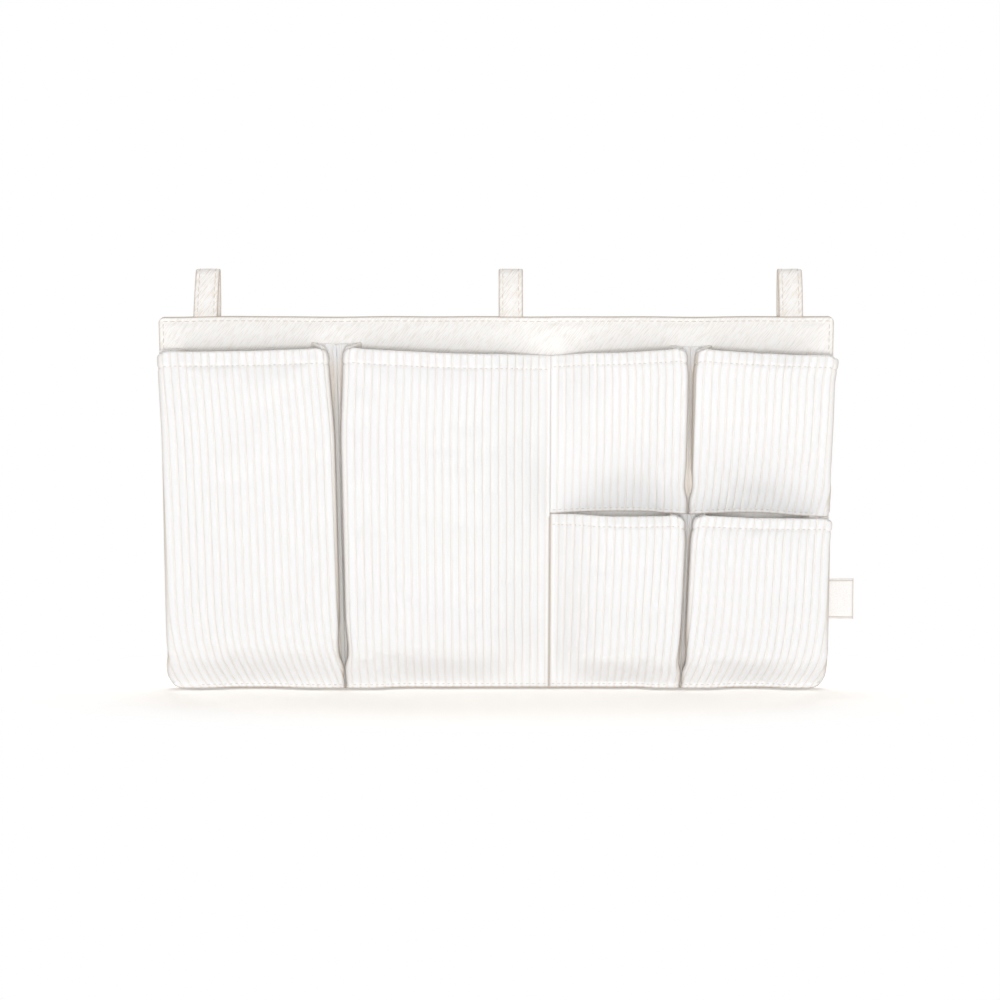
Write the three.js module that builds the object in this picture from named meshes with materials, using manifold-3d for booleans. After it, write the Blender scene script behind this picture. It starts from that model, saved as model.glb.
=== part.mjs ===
// Bedside caddy: a padded cloth panel that hangs from a cot rail by three straps and carries six ribbed cloth
// pockets. The pockets are bellows: pleats at their sides open out towards the top, and lie flat in the bottom seam.
//
// Millimetres. +X is right as seen from the front, -Y faces the viewer and +Z is up. The origin is where the rail
// bears: on the inside of the strap crests, above the middle of the panel.

import * as THREE from "three";
import { mergeVertices } from "three/addons/utils/BufferGeometryUtils.js";
import Module from "manifold-3d";

const wasm = await Module();
wasm.setup();

// Clearance between pieces that are sewn or pressed together
const fitGap = 0.3;
// Share of a pocket's height above which its pleats open out towards the mouth
const mouthShare = 0.72;
// How far a cutting tool runs past what it cuts
const overrun = 1;

// Panel: two cloths that meet in a seam round the edge, with wadding between them
const panelTopWidth = 420;
const panelBottomWidth = 412;
const panelHeight = 234;
const panelTopRadius = 4;
const panelFootRadius = 9;
const panelCloth = 1;
const panelEdgeRadius = 1.2;
const wadding = 3;
const panelPatchWidth = 120;
const panelPatchHeight = 60;

// Straps: the sewn half rises from the top seam and over the crest, the tail hangs down behind the panel
const strapWidth = 15;
const strapThickness = 1.8;
const strapEdgeChamfer = 0.4;
const strapInsetLeft = 30.9;
const strapInsetRight = 27.8;
const strapMiddleX = 9;
const strapLeanLeft = -1.7;
const strapLeanRight = 1;
const strapSeamDepth = 7;
const loopHeight = 27.6;
const crestFlat = 2.4;
const crestRadius = 2.4;
const loopBulge = 2.2;
const tailDrop = 44;

// Hook-and-loop tapes that close the straps on the back of the panel
const tapeThickness = 1.1;
const tapeInset = 1.2;
const tapeCornerRadius = 1.6;
const hookTapeLength = 24;
const hookTapeRise = 3;
const loopTapeLength = 36;
const loopTapeDrop = 9;

// Pocket cloth, its turned hem and its folds
const pocketCloth = 1.6;
const flange = 3.4;
const footMargin = 1.2;
const hemHeight = 8;
const hemTurn = 1;
const hemStep = 0.8;
const innerFoldRadius = 0.95;
const flatFoldRadius = 1.35;
const openFoldRadius = 4;
const cornerDip = 4;
const pocketCrown = 2.5;

// Pocket row: widths from seam to seam along the top, and how far the seams drift sideways going down
const tallLeftWidth = 110.3;
const tallMiddleWidth = 133.7;
const innerPocketWidth = 86.8;
const leftSeamDrift = 5.2;
const flatSeamDrift = -1;
const rightSeamUpperDrift = -1.3;
const rightSeamLowerDrift = -4.4;

// Drops of the pockets' top edges below the panel's top edge
const leftEarDrop = 16.9;
const rightEarDrop = 18.7;
const tallLeftOuterDrop = 21.4;
const tallLeftFoldDrop = 19.2;
const tallMiddleFoldDrop = 18.8;
const flatSeamDrop = 24;
const upperInnerFoldDrop = 19.5;
const upperOuterFoldDrop = 19.7;
const upperOuterDrop = 24.1;
const upperBottomDrop = 122.9;
const upperBottomArch = 1.4;
const upperBottomSag = 2.1;
const rowGap = 1;

// Depth of the pockets in front of the panel, at the mouth and at the belly, and the height of their round bottoms
const tallMouthDepth = 21;
const tallBellyDepth = 26;
const tallBellyHeight = 30;
const upperMouthDepth = 20;
const upperBellyDepth = 19;
const upperBellyHeight = 24;
const lowerMouthDepth = 22;
const lowerBellyDepth = 23;
const lowerBellyHeight = 22;
const middleSideRise = 52;
const upperSideRise = 40;
const lowerSideRise = 13;

// Pleats: the underlay runs along the panel from the seam, and the gap is from the seam to the front's fold
const leftUnderlay = 15;
const rightUnderlay = 12.5;
const edgeUnderlay = 16;
const pleatGapTop = 3.7;
const pleatGapMiddle = 1.8;
const rightGapTop = 2.8;
const rightGapMiddle = 1.4;
const edgeGapTop = 0.9;
const edgeGapMiddle = 2;
const footGap = 0.4;

// Side label: a folded woven strip in the side seam
const labelHeight = 25;
const labelReach = 17;
const labelSeamDepth = 5;
const labelLayer = 0.5;
const labelFoldGap = 0.3;
const labelDrop = 177.3;

// Places worked out from the sizes above
const panelHalf = wadding / 2 + fitGap + panelCloth;
const tapeStack = fitGap + tapeThickness + fitGap + tapeThickness + fitGap;
const loopSpan = panelHalf + tapeStack + strapThickness / 2;
const panelY = -loopSpan / 2;
const tailY = loopSpan / 2;
const panelTop = -loopHeight;
const panelFront = panelY - panelHalf;
const panelBack = panelY + panelHalf;

const creamCloth = { color: 0xece6dc, roughness: 0.95, metalness: 0 };
const ribbedCloth = { color: 0xf6f3ee, roughness: 0.95, metalness: 0 };
const labelCloth = { color: 0xf4efe6, roughness: 0.85, metalness: 0 };
const tapeCloth = { color: 0xefebe3, roughness: 0.9, metalness: 0 };
const waddingCloth = { color: 0xfafafa, roughness: 1, metalness: 0 };

const root = new THREE.Group();

function addPiece(name, geometry, look) {
  const mesh = new THREE.Mesh(geometry, new THREE.MeshStandardMaterial(look));
  mesh.name = name;
  root.add(mesh);
  return mesh;
}

// Turns a list of points and triangles into a closed geometry whose faces point outwards.
function closedGeometry(points, triangles) {
  const volume = triangles.reduce((sum, [a, b, c]) => {
    const normal = new THREE.Vector3().crossVectors(points[b], points[c]);
    return sum + points[a].dot(normal);
  }, 0);
  const outward = volume > 0 ? triangles : triangles.map(([a, b, c]) => [a, c, b]);
  const geometry = new THREE.BufferGeometry().setFromPoints(points);
  geometry.setIndex(outward.flat());
  return geometry;
}

// Skins a stack of rings, each with the same number of points, and closes both ends with flat caps.
function loft(rings) {
  const count = rings[0].length;
  const points = rings.flat();
  const triangles = [];
  for (let ring = 0; ring + 1 < rings.length; ring++) {
    for (let k = 0; k < count; k++) {
      const next = (k + 1) % count;
      const a = ring * count + k;
      const b = ring * count + next;
      triangles.push([a, b, b + count], [a, b + count, a + count]);
    }
  }
  const last = (rings.length - 1) * count;
  for (let k = 1; k + 1 < count; k++) {
    triangles.push([0, k + 1, k], [last, last + k, last + k + 1]);
  }
  return closedGeometry(points, triangles);
}

// A cloth of even thickness from a grid of points on its middle surface. grid[i][j] runs along the cloth with i and
// upwards with j. hem(i, j) is extra thickness on the inner side, where the cloth is turned over.
function clothShell(grid, thickness, hem) {
  const columns = grid.length;
  const rows = grid[0].length;
  const outer = [];
  const inner = [];
  for (let i = 0; i < columns; i++) {
    for (let j = 0; j < rows; j++) {
      const along = grid[Math.min(i + 1, columns - 1)][j].clone().sub(grid[Math.max(i - 1, 0)][j]);
      const up = grid[i][Math.min(j + 1, rows - 1)].clone().sub(grid[i][Math.max(j - 1, 0)]);
      const normal = along.cross(up).normalize();
      outer.push(grid[i][j].clone().addScaledVector(normal, thickness / 2));
      inner.push(grid[i][j].clone().addScaledVector(normal, -thickness / 2 - hem(i, j)));
    }
  }
  const points = [...outer, ...inner];
  const at = (i, j) => i * rows + j;
  const behind = outer.length;
  const triangles = [];
  const quad = (a, b, c, d) => triangles.push([a, b, c], [a, c, d]);
  for (let i = 0; i + 1 < columns; i++) {
    for (let j = 0; j + 1 < rows; j++) {
      quad(at(i, j), at(i + 1, j), at(i + 1, j + 1), at(i, j + 1));
      quad(behind + at(i, j), behind + at(i, j + 1), behind + at(i + 1, j + 1), behind + at(i + 1, j));
    }
    quad(at(i, 0), behind + at(i, 0), behind + at(i + 1, 0), at(i + 1, 0));
    quad(at(i + 1, rows - 1), behind + at(i + 1, rows - 1), behind + at(i, rows - 1), at(i, rows - 1));
  }
  for (let j = 0; j + 1 < rows; j++) {
    quad(at(0, j + 1), behind + at(0, j + 1), behind + at(0, j), at(0, j));
    quad(at(columns - 1, j), behind + at(columns - 1, j), behind + at(columns - 1, j + 1), at(columns - 1, j + 1));
  }
  return closedGeometry(points, triangles);
}

function toSolid(geometry) {
  const bare = new THREE.BufferGeometry().setAttribute("position", geometry.getAttribute("position"));
  if (geometry.index) bare.setIndex(geometry.index);
  const merged = mergeVertices(bare);
  return new wasm.Manifold(
    new wasm.Mesh({
      numProp: 3,
      vertProperties: merged.getAttribute("position").array,
      triVerts: new Uint32Array(merged.index.array),
    }),
  );
}

function toGeometry(solid) {
  const mesh = solid.getMesh();
  const geometry = new THREE.BufferGeometry();
  geometry.setAttribute("position", new THREE.BufferAttribute(mesh.vertProperties, mesh.numProp));
  geometry.setIndex(new THREE.BufferAttribute(mesh.triVerts, 1));
  return geometry;
}

function cut(geometry, tools) {
  return toGeometry(tools.reduce((solid, tool) => solid.subtract(toSolid(tool)), toSolid(geometry)));
}

function box(low, high) {
  const size = new THREE.Vector3().subVectors(high, low);
  const middle = new THREE.Vector3().addVectors(low, high).divideScalar(2);
  return new THREE.BoxGeometry(size.x, size.y, size.z).translate(middle.x, middle.y, middle.z);
}

// Panel

// Half the panel's width at a height below its top edge
function panelHalfWidth(drop) {
  return THREE.MathUtils.lerp(panelTopWidth, panelBottomWidth, drop / panelHeight) / 2;
}

// The panel's outline, moved inwards by inset, at depth y
function panelRing(inset, y) {
  const arcSteps = 4;
  const points = [];
  const corners = [
    { side: 1, drop: 0, corner: panelTopRadius, start: 0 },
    { side: -1, drop: 0, corner: panelTopRadius, start: Math.PI / 2 },
    { side: -1, drop: panelHeight, corner: panelFootRadius, start: Math.PI },
    { side: 1, drop: panelHeight, corner: panelFootRadius, start: (3 * Math.PI) / 2 },
  ];
  for (const { side, drop, corner, start } of corners) {
    const radius = corner - inset;
    const centreX = side * (panelHalfWidth(drop) - corner);
    const centreZ = panelTop - drop + (drop > 0 ? corner : -corner);
    for (let step = 0; step <= arcSteps; step++) {
      const angle = start + ((Math.PI / 2) * step) / arcSteps;
      points.push(new THREE.Vector3(centreX + radius * Math.cos(angle), y, centreZ + radius * Math.sin(angle)));
    }
  }
  return points;
}

// A flat patch in the middle of a panel cloth, on which the cloth's cap closes
function patchRing(y) {
  return panelRing(panelCloth, y).map((point) => {
    const shareX = panelPatchWidth / panelTopWidth;
    const shareZ = panelPatchHeight / panelHeight;
    const middleZ = panelTop - panelHeight / 2;
    return new THREE.Vector3(point.x * shareX, y, middleZ + (point.z - middleZ) * shareZ);
  });
}

// One panel cloth as a shallow tray. side is -1 for the front cloth and 1 for the back cloth.
function panelTray(side) {
  const face = panelY + side * panelHalf;
  const inside = face - side * panelCloth;
  const seam = panelY + (side * fitGap) / 2;
  const shoulder = panelEdgeRadius * (1 - Math.SQRT1_2);
  return loft([
    patchRing(inside),
    panelRing(panelCloth + panelEdgeRadius / 2, inside),
    panelRing(panelCloth, inside - (side * panelEdgeRadius) / 2),
    panelRing(panelCloth, seam),
    panelRing(0, seam),
    panelRing(0, face - side * panelEdgeRadius),
    panelRing(shoulder, face - side * shoulder),
    panelRing(panelEdgeRadius, face),
    patchRing(face),
  ]);
}

function paddingSlab() {
  const half = wadding / 2;
  const edge = panelCloth + fitGap;
  const soft = panelEdgeRadius / 2;
  return loft([
    panelRing(edge + soft, panelY - half),
    panelRing(edge, panelY - half + soft),
    panelRing(edge, panelY + half - soft),
    panelRing(edge + soft, panelY + half),
  ]);
}

// Straps

const straps = [
  { name: "left", x: -panelTopWidth / 2 + strapInsetLeft, lean: strapLeanLeft },
  { name: "middle", x: strapMiddleX, lean: 0 },
  { name: "right", x: panelTopWidth / 2 - strapInsetRight, lean: strapLeanRight },
];

// Points of the strap's middle line in the YZ plane, from the flat crest down to the panel's top edge. side is -1 for
// the sewn half in front and 1 for the tail behind.
function loopLine(side, baseY) {
  const bend = crestRadius + strapThickness / 2;
  const bendSteps = 4;
  const fallSteps = 6;
  const points = [];
  for (let step = 0; step <= bendSteps; step++) {
    const angle = ((Math.PI / 2) * step) / bendSteps;
    const y = crestFlat / 2 + bend * Math.sin(angle);
    points.push(new THREE.Vector2(side * y, bend * Math.cos(angle) - crestRadius));
  }
  const top = points[points.length - 1];
  const third = (panelTop - top.y) / 3;
  const fall = new THREE.CubicBezierCurve(
    top,
    new THREE.Vector2(top.x + side * loopBulge, top.y + third),
    new THREE.Vector2(baseY + side * loopBulge, panelTop - third),
    new THREE.Vector2(baseY, panelTop),
  );
  return [...points, ...fall.getPoints(fallSteps).slice(1)];
}

// Lofts a strap's section along a line in the YZ plane. leanAt gives the sideways shift at a height.
function ribbon(line, centreX, leanAt) {
  const half = strapWidth / 2;
  const flat = strapThickness / 2;
  const soft = strapEdgeChamfer;
  const section = [
    [half, soft - flat],
    [half, flat - soft],
    [half - soft, flat],
    [soft - half, flat],
    [-half, flat - soft],
    [-half, soft - flat],
    [soft - half, -flat],
    [half - soft, -flat],
  ];
  const rings = line.map((point, k) => {
    const next = line[Math.min(k + 1, line.length - 1)].clone().sub(point).normalize();
    const last = point.clone().sub(line[Math.max(k - 1, 0)]).normalize();
    const ahead = last.clone().add(next).normalize();
    const into = new THREE.Vector2(-ahead.y, ahead.x);
    // A bend is mitred, so the strap keeps its thickness.
    const mitre = 1 / Math.max(last.dot(ahead), next.dot(ahead));
    return section.map(([across, through]) => {
      const y = point.x + into.x * through * mitre;
      const z = point.y + into.y * through * mitre;
      return new THREE.Vector3(centreX + across + leanAt(point.y), y, z);
    });
  });
  return loft(rings);
}

function sewnHalf({ x, lean }) {
  const crest = new THREE.Vector2(crestFlat / 2, strapThickness / 2);
  const foot = new THREE.Vector2(panelY, panelTop - strapSeamDepth);
  const line = [crest, ...loopLine(-1, panelY), foot];
  return ribbon(line, x, (z) => lean * Math.min(Math.max(z / panelTop, 0), 1));
}

function tailHalf({ x }) {
  const start = new THREE.Vector2(crestFlat / 2 + fitGap, strapThickness / 2);
  const foot = new THREE.Vector2(tailY, panelTop - tailDrop);
  const line = [start, ...loopLine(1, tailY).slice(1), foot];
  return ribbon(line, x, () => 0);
}

// The room that a strap's sewn end takes up in the top seam
function strapSlot({ x, lean }) {
  const half = strapWidth / 2 + fitGap;
  const through = strapThickness / 2 + fitGap;
  return box(
    new THREE.Vector3(x + lean - half, panelY - through, panelTop - strapSeamDepth - fitGap),
    new THREE.Vector3(x + lean + half, panelY + through, panelTop + overrun),
  );
}

function tape(x, top, length, y) {
  const half = strapWidth / 2 - tapeInset;
  const radius = tapeCornerRadius;
  const shape = new THREE.Shape();
  shape.moveTo(-half + radius, -length);
  shape.lineTo(half - radius, -length);
  shape.absarc(half - radius, radius - length, radius, -Math.PI / 2, 0);
  shape.absarc(half - radius, -radius, radius, 0, Math.PI / 2);
  shape.absarc(-half + radius, -radius, radius, Math.PI / 2, Math.PI);
  shape.absarc(-half + radius, radius - length, radius, Math.PI, (3 * Math.PI) / 2);
  const geometry = new THREE.ExtrudeGeometry(shape, { depth: tapeThickness, bevelEnabled: false, curveSegments: 3 });
  return geometry.rotateX(Math.PI / 2).translate(x, y + tapeThickness, top);
}

// Side label

const labelHalf = labelLayer + labelFoldGap / 2;
const labelMiddleZ = panelTop - labelDrop;

// Where the panel's right edge is at the label's height
const labelEdgeX = panelHalfWidth(labelDrop);

function foldedLabel() {
  const start = labelEdgeX - labelSeamDepth;
  const fold = labelEdgeX + labelReach - labelHalf;
  const slit = labelFoldGap / 2;
  const shape = new THREE.Shape();
  shape.moveTo(start, -labelHalf);
  shape.lineTo(fold, -labelHalf);
  shape.absarc(fold, 0, labelHalf, -Math.PI / 2, Math.PI / 2);
  shape.lineTo(start, labelHalf);
  shape.lineTo(start, slit);
  shape.lineTo(fold, slit);
  shape.absarc(fold, 0, slit, Math.PI / 2, -Math.PI / 2, true);
  shape.lineTo(start, -slit);
  const geometry = new THREE.ExtrudeGeometry(shape, { depth: labelHeight, bevelEnabled: false, curveSegments: 4 });
  return geometry.translate(0, panelY, labelMiddleZ - labelHeight / 2);
}

function labelSlot() {
  const through = labelHalf + fitGap;
  const half = labelHeight / 2 + fitGap;
  return box(
    new THREE.Vector3(labelEdgeX - labelSeamDepth - fitGap, panelY - through, labelMiddleZ - half),
    new THREE.Vector3(labelEdgeX + labelReach, panelY + through, labelMiddleZ + half),
  );
}

// Pockets

const clothMiddle = fitGap + pocketCloth / 2;
// Depth of the front where it lies on a flat pleat, three cloths thick
const pleatStack = clothMiddle + 2 * innerFoldRadius + 2 * flatFoldRadius;
const foldSteps = 4;
const riseSteps = 5;
const frontSteps = 8;

const smooth = (share) => THREE.MathUtils.smoothstep(share, 0, 1);

// A pleated side at one height, from the seam along the panel, round the inner fold, out across the gusset, round
// the outer fold and past the pleat. x is the distance from the seam and y the depth in front of the panel.
function pleatLine({ underlay }, gap, depth, outerRadius) {
  const innerCentre = new THREE.Vector2(underlay - innerFoldRadius, clothMiddle + innerFoldRadius);
  const outerCentre = new THREE.Vector2(gap + pocketCloth / 2 + outerRadius, depth - outerRadius);
  const apart = outerCentre.clone().sub(innerCentre);
  // The gusset is the straight line that touches both fold circles and crosses between them.
  const crossing = Math.asin(Math.min(1, (innerFoldRadius + outerRadius) / apart.length()));
  const heading = Math.min(apart.angle() + crossing, Math.PI);
  const arc = (centre, radius, from, to) =>
    Array.from({ length: foldSteps + 1 }, (_, step) => {
      const angle = THREE.MathUtils.lerp(from, to, step / foldSteps);
      return new THREE.Vector2(centre.x + radius * Math.cos(angle), centre.y + radius * Math.sin(angle));
    });
  return [
    new THREE.Vector2(fitGap, clothMiddle),
    ...arc(innerCentre, innerFoldRadius, -Math.PI / 2, heading - Math.PI / 2),
    ...arc(outerCentre, outerRadius, heading + Math.PI / 2, Math.PI / 2),
    new THREE.Vector2(underlay + pocketCloth, depth),
  ];
}

// A side that is stitched flat on the panel, from which the front rises to its full depth
function flatLine({ rise }, depth) {
  const points = [new THREE.Vector2(fitGap, clothMiddle)];
  for (let step = 0; step <= riseSteps; step++) {
    const share = step / riseSteps;
    const height = (depth - clothMiddle) * Math.sin((Math.PI / 2) * share);
    points.push(new THREE.Vector2(flange + rise * share, clothMiddle + height));
  }
  return points;
}

// The heights at which a pocket's sections are drawn, from its bottom edge to its top, with how far the round bottom
// has swelled there and whether the row lies in the hem
function pocketRows(height, bellyHeight) {
  const roundSteps = 5;
  const wallSteps = 3;
  // Rows stand closer together where the pleats begin to open.
  const rowCrowding = 1.4;
  const rows = [
    { rise: 0, swell: 0, hem: 0 },
    { rise: flange / 2, swell: 0, hem: 0 },
  ];
  for (let step = 0; step <= roundSteps; step++) {
    const share = (step / roundSteps) ** rowCrowding;
    rows.push({ rise: flange + bellyHeight * share, swell: Math.sin((Math.PI / 2) * share), hem: 0 });
  }
  const wallStart = flange + bellyHeight;
  const wallEnd = height - hemHeight - hemStep;
  for (let step = 1; step <= wallSteps; step++) {
    rows.push({ rise: THREE.MathUtils.lerp(wallStart, wallEnd, step / wallSteps), swell: 1, hem: 0 });
  }
  rows.push({ rise: height - hemHeight, swell: 1, hem: 1 }, { rise: height, swell: 1, hem: 1 });
  return rows;
}

// The gap between a seam and the front's fold is closed at the foot, and opens out again at the mouth.
function gapAt(side, share, swell) {
  const opened = THREE.MathUtils.lerp(footGap, side.gapMiddle, swell);
  return THREE.MathUtils.lerp(opened, side.gapTop, smooth((share - mouthShare) / (1 - mouthShare)));
}

// One pocket. left and right describe its sides: where the seam runs, how far down the front and the ear begin, and
// for a pleated side the underlay and gaps, or for a side stitched flat the distance over which the front rises.
function pocket({ left, right, bottomAt, mouthDepth, bellyDepth, bellyHeight }) {
  const height = (left.footDrop - left.frontDrop + right.footDrop - right.frontDrop) / 2;
  const rows = pocketRows(height, bellyHeight);

  const sections = rows.map(({ rise, swell }) => {
    const share = rise / height;
    const seamX = (side) => side.seamAt(THREE.MathUtils.lerp(side.footDrop, side.frontDrop, share));
    const wall = THREE.MathUtils.lerp(bellyDepth, mouthDepth, smooth(share));
    const radius = THREE.MathUtils.lerp(flatFoldRadius, openFoldRadius, Math.sqrt(swell));
    const middle = THREE.MathUtils.lerp(clothMiddle, wall + pocketCrown, swell);

    const sideLine = (side) =>
      side.underlay
        ? pleatLine(side, gapAt(side, share, swell), THREE.MathUtils.lerp(pleatStack, wall, swell), radius)
        : flatLine(side, THREE.MathUtils.lerp(clothMiddle, wall, swell));
    const leftLine = sideLine(left).map(({ x, y }) => ({ x: seamX(left) + x, depth: y }));
    const rightLine = sideLine(right).map(({ x, y }) => ({ x: seamX(right) - x, depth: y }));
    const from = leftLine[leftLine.length - 1];
    const to = rightLine[rightLine.length - 1];

    const front = [];
    for (let step = 1; step < frontSteps; step++) {
      const across = step / frontSteps;
      const edge = THREE.MathUtils.lerp(from.depth, to.depth, across);
      const crown = Math.sqrt(Math.sin(Math.PI * across));
      front.push({
        x: THREE.MathUtils.lerp(from.x, to.x, across),
        depth: THREE.MathUtils.lerp(edge, middle, crown),
      });
    }
    return { leftCount: leftLine.length, points: [...leftLine, ...front, ...rightLine.reverse()] };
  });

  // Where each station along the cloth has its top edge, and whether the hem is turned there
  const { leftCount, points: footLine } = sections[0];
  const rightStart = leftCount + frontSteps - 1;
  const leftSeam = footLine[0].x;
  const rightSeam = footLine[footLine.length - 1].x;
  const stations = footLine.map(({ x }, i) => {
    const across = (x - leftSeam) / (rightSeam - leftSeam);
    const drop = THREE.MathUtils.lerp(left.frontDrop, right.frontDrop, across);
    if (i < leftCount) return topStation(left, i, drop);
    if (i >= rightStart) return topStation(right, footLine.length - 1 - i, drop);
    return { drop, hem: 1 };
  });

  const grid = stations.map((station, i) =>
    rows.map(({ rise }, j) => {
      const { x, depth } = sections[j].points[i];
      const drop = THREE.MathUtils.lerp(bottomAt(footLine[i].x), station.drop, rise / height);
      return new THREE.Vector3(x, panelFront - depth, panelTop - drop);
    }),
  );
  return clothShell(grid, pocketCloth, (i, j) => hemTurn * rows[j].hem * stations[i].hem);
}

// The top edge at point k of a side's line. On a pleat it stands up over the underlay as an ear, and dips where it
// comes round the outer fold. The turned hem runs along the front only.
function topStation(side, k, drop) {
  if (!side.underlay) return { drop, hem: k > 1 ? 1 : 0 };
  const foldStart = foldSteps + 2;
  if (k < foldStart) return { drop: side.earDrop, hem: 0 };
  const turn = Math.min(1, (k - foldStart) / foldSteps);
  return { drop: drop + cornerDip * Math.cos((Math.PI / 2) * turn), hem: 1 };
}

const footDrop = panelHeight - footMargin;
const lowerTopDrop = upperBottomDrop + rowGap;
const leftSeamX = -panelTopWidth / 2 + tallLeftWidth;
const flatSeamX = leftSeamX + tallMiddleWidth;
const rightSeamX = flatSeamX + innerPocketWidth;
const leftSeamAt = (drop) => leftSeamX + (leftSeamDrift * drop) / panelHeight;
const flatSeamAt = (drop) => flatSeamX + (flatSeamDrift * drop) / panelHeight;

// The right seam drifts a little beside the upper pockets, and more beside the lower ones.
function rightSeamAt(drop) {
  const upper = Math.min(1, drop / upperBottomDrop);
  const lower = Math.max(0, (drop - upperBottomDrop) / (panelHeight - upperBottomDrop));
  return rightSeamX + rightSeamUpperDrift * upper + rightSeamLowerDrift * lower;
}

// The panel's side edge on the left (-1) or right (1), round its lower corner
function edgeAt(side, drop) {
  const intoCorner = Math.max(0, drop - panelHeight + panelFootRadius);
  const cornerInset = panelFootRadius - Math.sqrt(panelFootRadius ** 2 - intoCorner ** 2);
  return side * (panelHalfWidth(drop) - cornerInset);
}

const edgePleat = { underlay: edgeUnderlay, gapTop: edgeGapTop, gapMiddle: edgeGapMiddle };
const leftPleat = { underlay: leftUnderlay, gapTop: pleatGapTop, gapMiddle: pleatGapMiddle, seamAt: leftSeamAt };
const rightPleat = { underlay: rightUnderlay, gapTop: rightGapTop, gapMiddle: rightGapMiddle, seamAt: rightSeamAt };
const leftEdge = { ...edgePleat, seamAt: (drop) => edgeAt(-1, drop) };
const rightEdge = { ...edgePleat, seamAt: (drop) => edgeAt(1, drop) };

// The bottom edge of a full-height pocket at x, which follows the panel's rounded corners
const cornerReach = panelFootRadius * Math.SQRT1_2;
const cornerLift = panelFootRadius - cornerReach;
function footAt(x) {
  const fromEdge = panelHalfWidth(panelHeight) - Math.abs(x);
  return footDrop - cornerLift * Math.max(0, 1 - fromEdge / cornerReach) ** 2;
}

// The bottom edge of the upper pockets at x: arched over each pocket, and lower towards the panel's side
function upperBottomAt(x) {
  const fromSeam = Math.min(1, Math.abs(x - rightSeamX) / innerPocketWidth);
  const sag = x > rightSeamX ? upperBottomSag * smooth(fromSeam) : 0;
  return upperBottomDrop - upperBottomArch * Math.sin(Math.PI * fromSeam) + sag;
}

const tall = { mouthDepth: tallMouthDepth, bellyDepth: tallBellyDepth, bellyHeight: tallBellyHeight };
const upper = { mouthDepth: upperMouthDepth, bellyDepth: upperBellyDepth, bellyHeight: upperBellyHeight };
const lower = { mouthDepth: lowerMouthDepth, bellyDepth: lowerBellyDepth, bellyHeight: lowerBellyHeight };

const pockets = {
  pocket_tall_left: {
    left: {
      ...leftEdge,
      frontDrop: tallLeftOuterDrop,
      earDrop: tallLeftOuterDrop,
      footDrop: footDrop - cornerLift,
    },
    right: { ...leftPleat, frontDrop: tallLeftFoldDrop, earDrop: leftEarDrop, footDrop },
    bottomAt: footAt,
    ...tall,
  },
  pocket_tall_middle: {
    left: { ...leftPleat, frontDrop: tallMiddleFoldDrop, earDrop: leftEarDrop, footDrop },
    right: { rise: middleSideRise, seamAt: flatSeamAt, frontDrop: flatSeamDrop, footDrop },
    bottomAt: footAt,
    ...tall,
  },
  pocket_upper_inner: {
    left: { rise: upperSideRise, seamAt: flatSeamAt, frontDrop: flatSeamDrop, footDrop: upperBottomDrop },
    right: { ...rightPleat, frontDrop: upperInnerFoldDrop, earDrop: rightEarDrop, footDrop: upperBottomDrop },
    bottomAt: upperBottomAt,
    ...upper,
  },
  pocket_upper_outer: {
    left: { ...rightPleat, frontDrop: upperOuterFoldDrop, earDrop: rightEarDrop, footDrop: upperBottomDrop },
    right: {
      ...rightEdge,
      frontDrop: upperOuterDrop,
      earDrop: upperOuterDrop,
      footDrop: upperBottomDrop + upperBottomSag,
    },
    bottomAt: upperBottomAt,
    ...upper,
  },
  pocket_lower_inner: {
    left: { rise: lowerSideRise, seamAt: flatSeamAt, frontDrop: lowerTopDrop, footDrop },
    right: { ...rightPleat, frontDrop: lowerTopDrop, earDrop: lowerTopDrop, footDrop },
    bottomAt: footAt,
    ...lower,
  },
  pocket_lower_outer: {
    left: { ...rightPleat, frontDrop: lowerTopDrop, earDrop: lowerTopDrop, footDrop },
    right: {
      ...rightEdge,
      frontDrop: lowerTopDrop + upperBottomSag,
      earDrop: lowerTopDrop + upperBottomSag,
      footDrop: footDrop - cornerLift,
    },
    bottomAt: footAt,
    ...lower,
  },
};

// Assembly

const seamSlots = [...straps.map(strapSlot), labelSlot()];
addPiece("front_panel", cut(panelTray(-1), seamSlots), creamCloth);
addPiece("back_panel", cut(panelTray(1), seamSlots), creamCloth);
addPiece("padding_core", cut(paddingSlab(), seamSlots), waddingCloth);
addPiece("side_label", foldedLabel(), labelCloth);

for (const strap of straps) {
  const tailFoot = panelTop - tailDrop;
  const hookY = panelBack + fitGap + tapeThickness + fitGap;
  addPiece(`strap_${strap.name}`, sewnHalf(strap), creamCloth);
  addPiece(`strap_tail_${strap.name}`, tailHalf(strap), creamCloth);
  addPiece(
    `hook_tape_${strap.name}`,
    tape(strap.x, tailFoot + hookTapeRise + hookTapeLength, hookTapeLength, hookY),
    tapeCloth,
  );
  addPiece(
    `loop_tape_${strap.name}`,
    tape(strap.x, panelTop - loopTapeDrop, loopTapeLength, panelBack + fitGap),
    tapeCloth,
  );
}

for (const [name, sizes] of Object.entries(pockets)) {
  addPiece(name, pocket(sizes), ribbedCloth);
}

export default root;
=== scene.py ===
import math

import bpy
import numpy as np
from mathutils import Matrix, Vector
from mathutils.bvhtree import BVHTree


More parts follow.
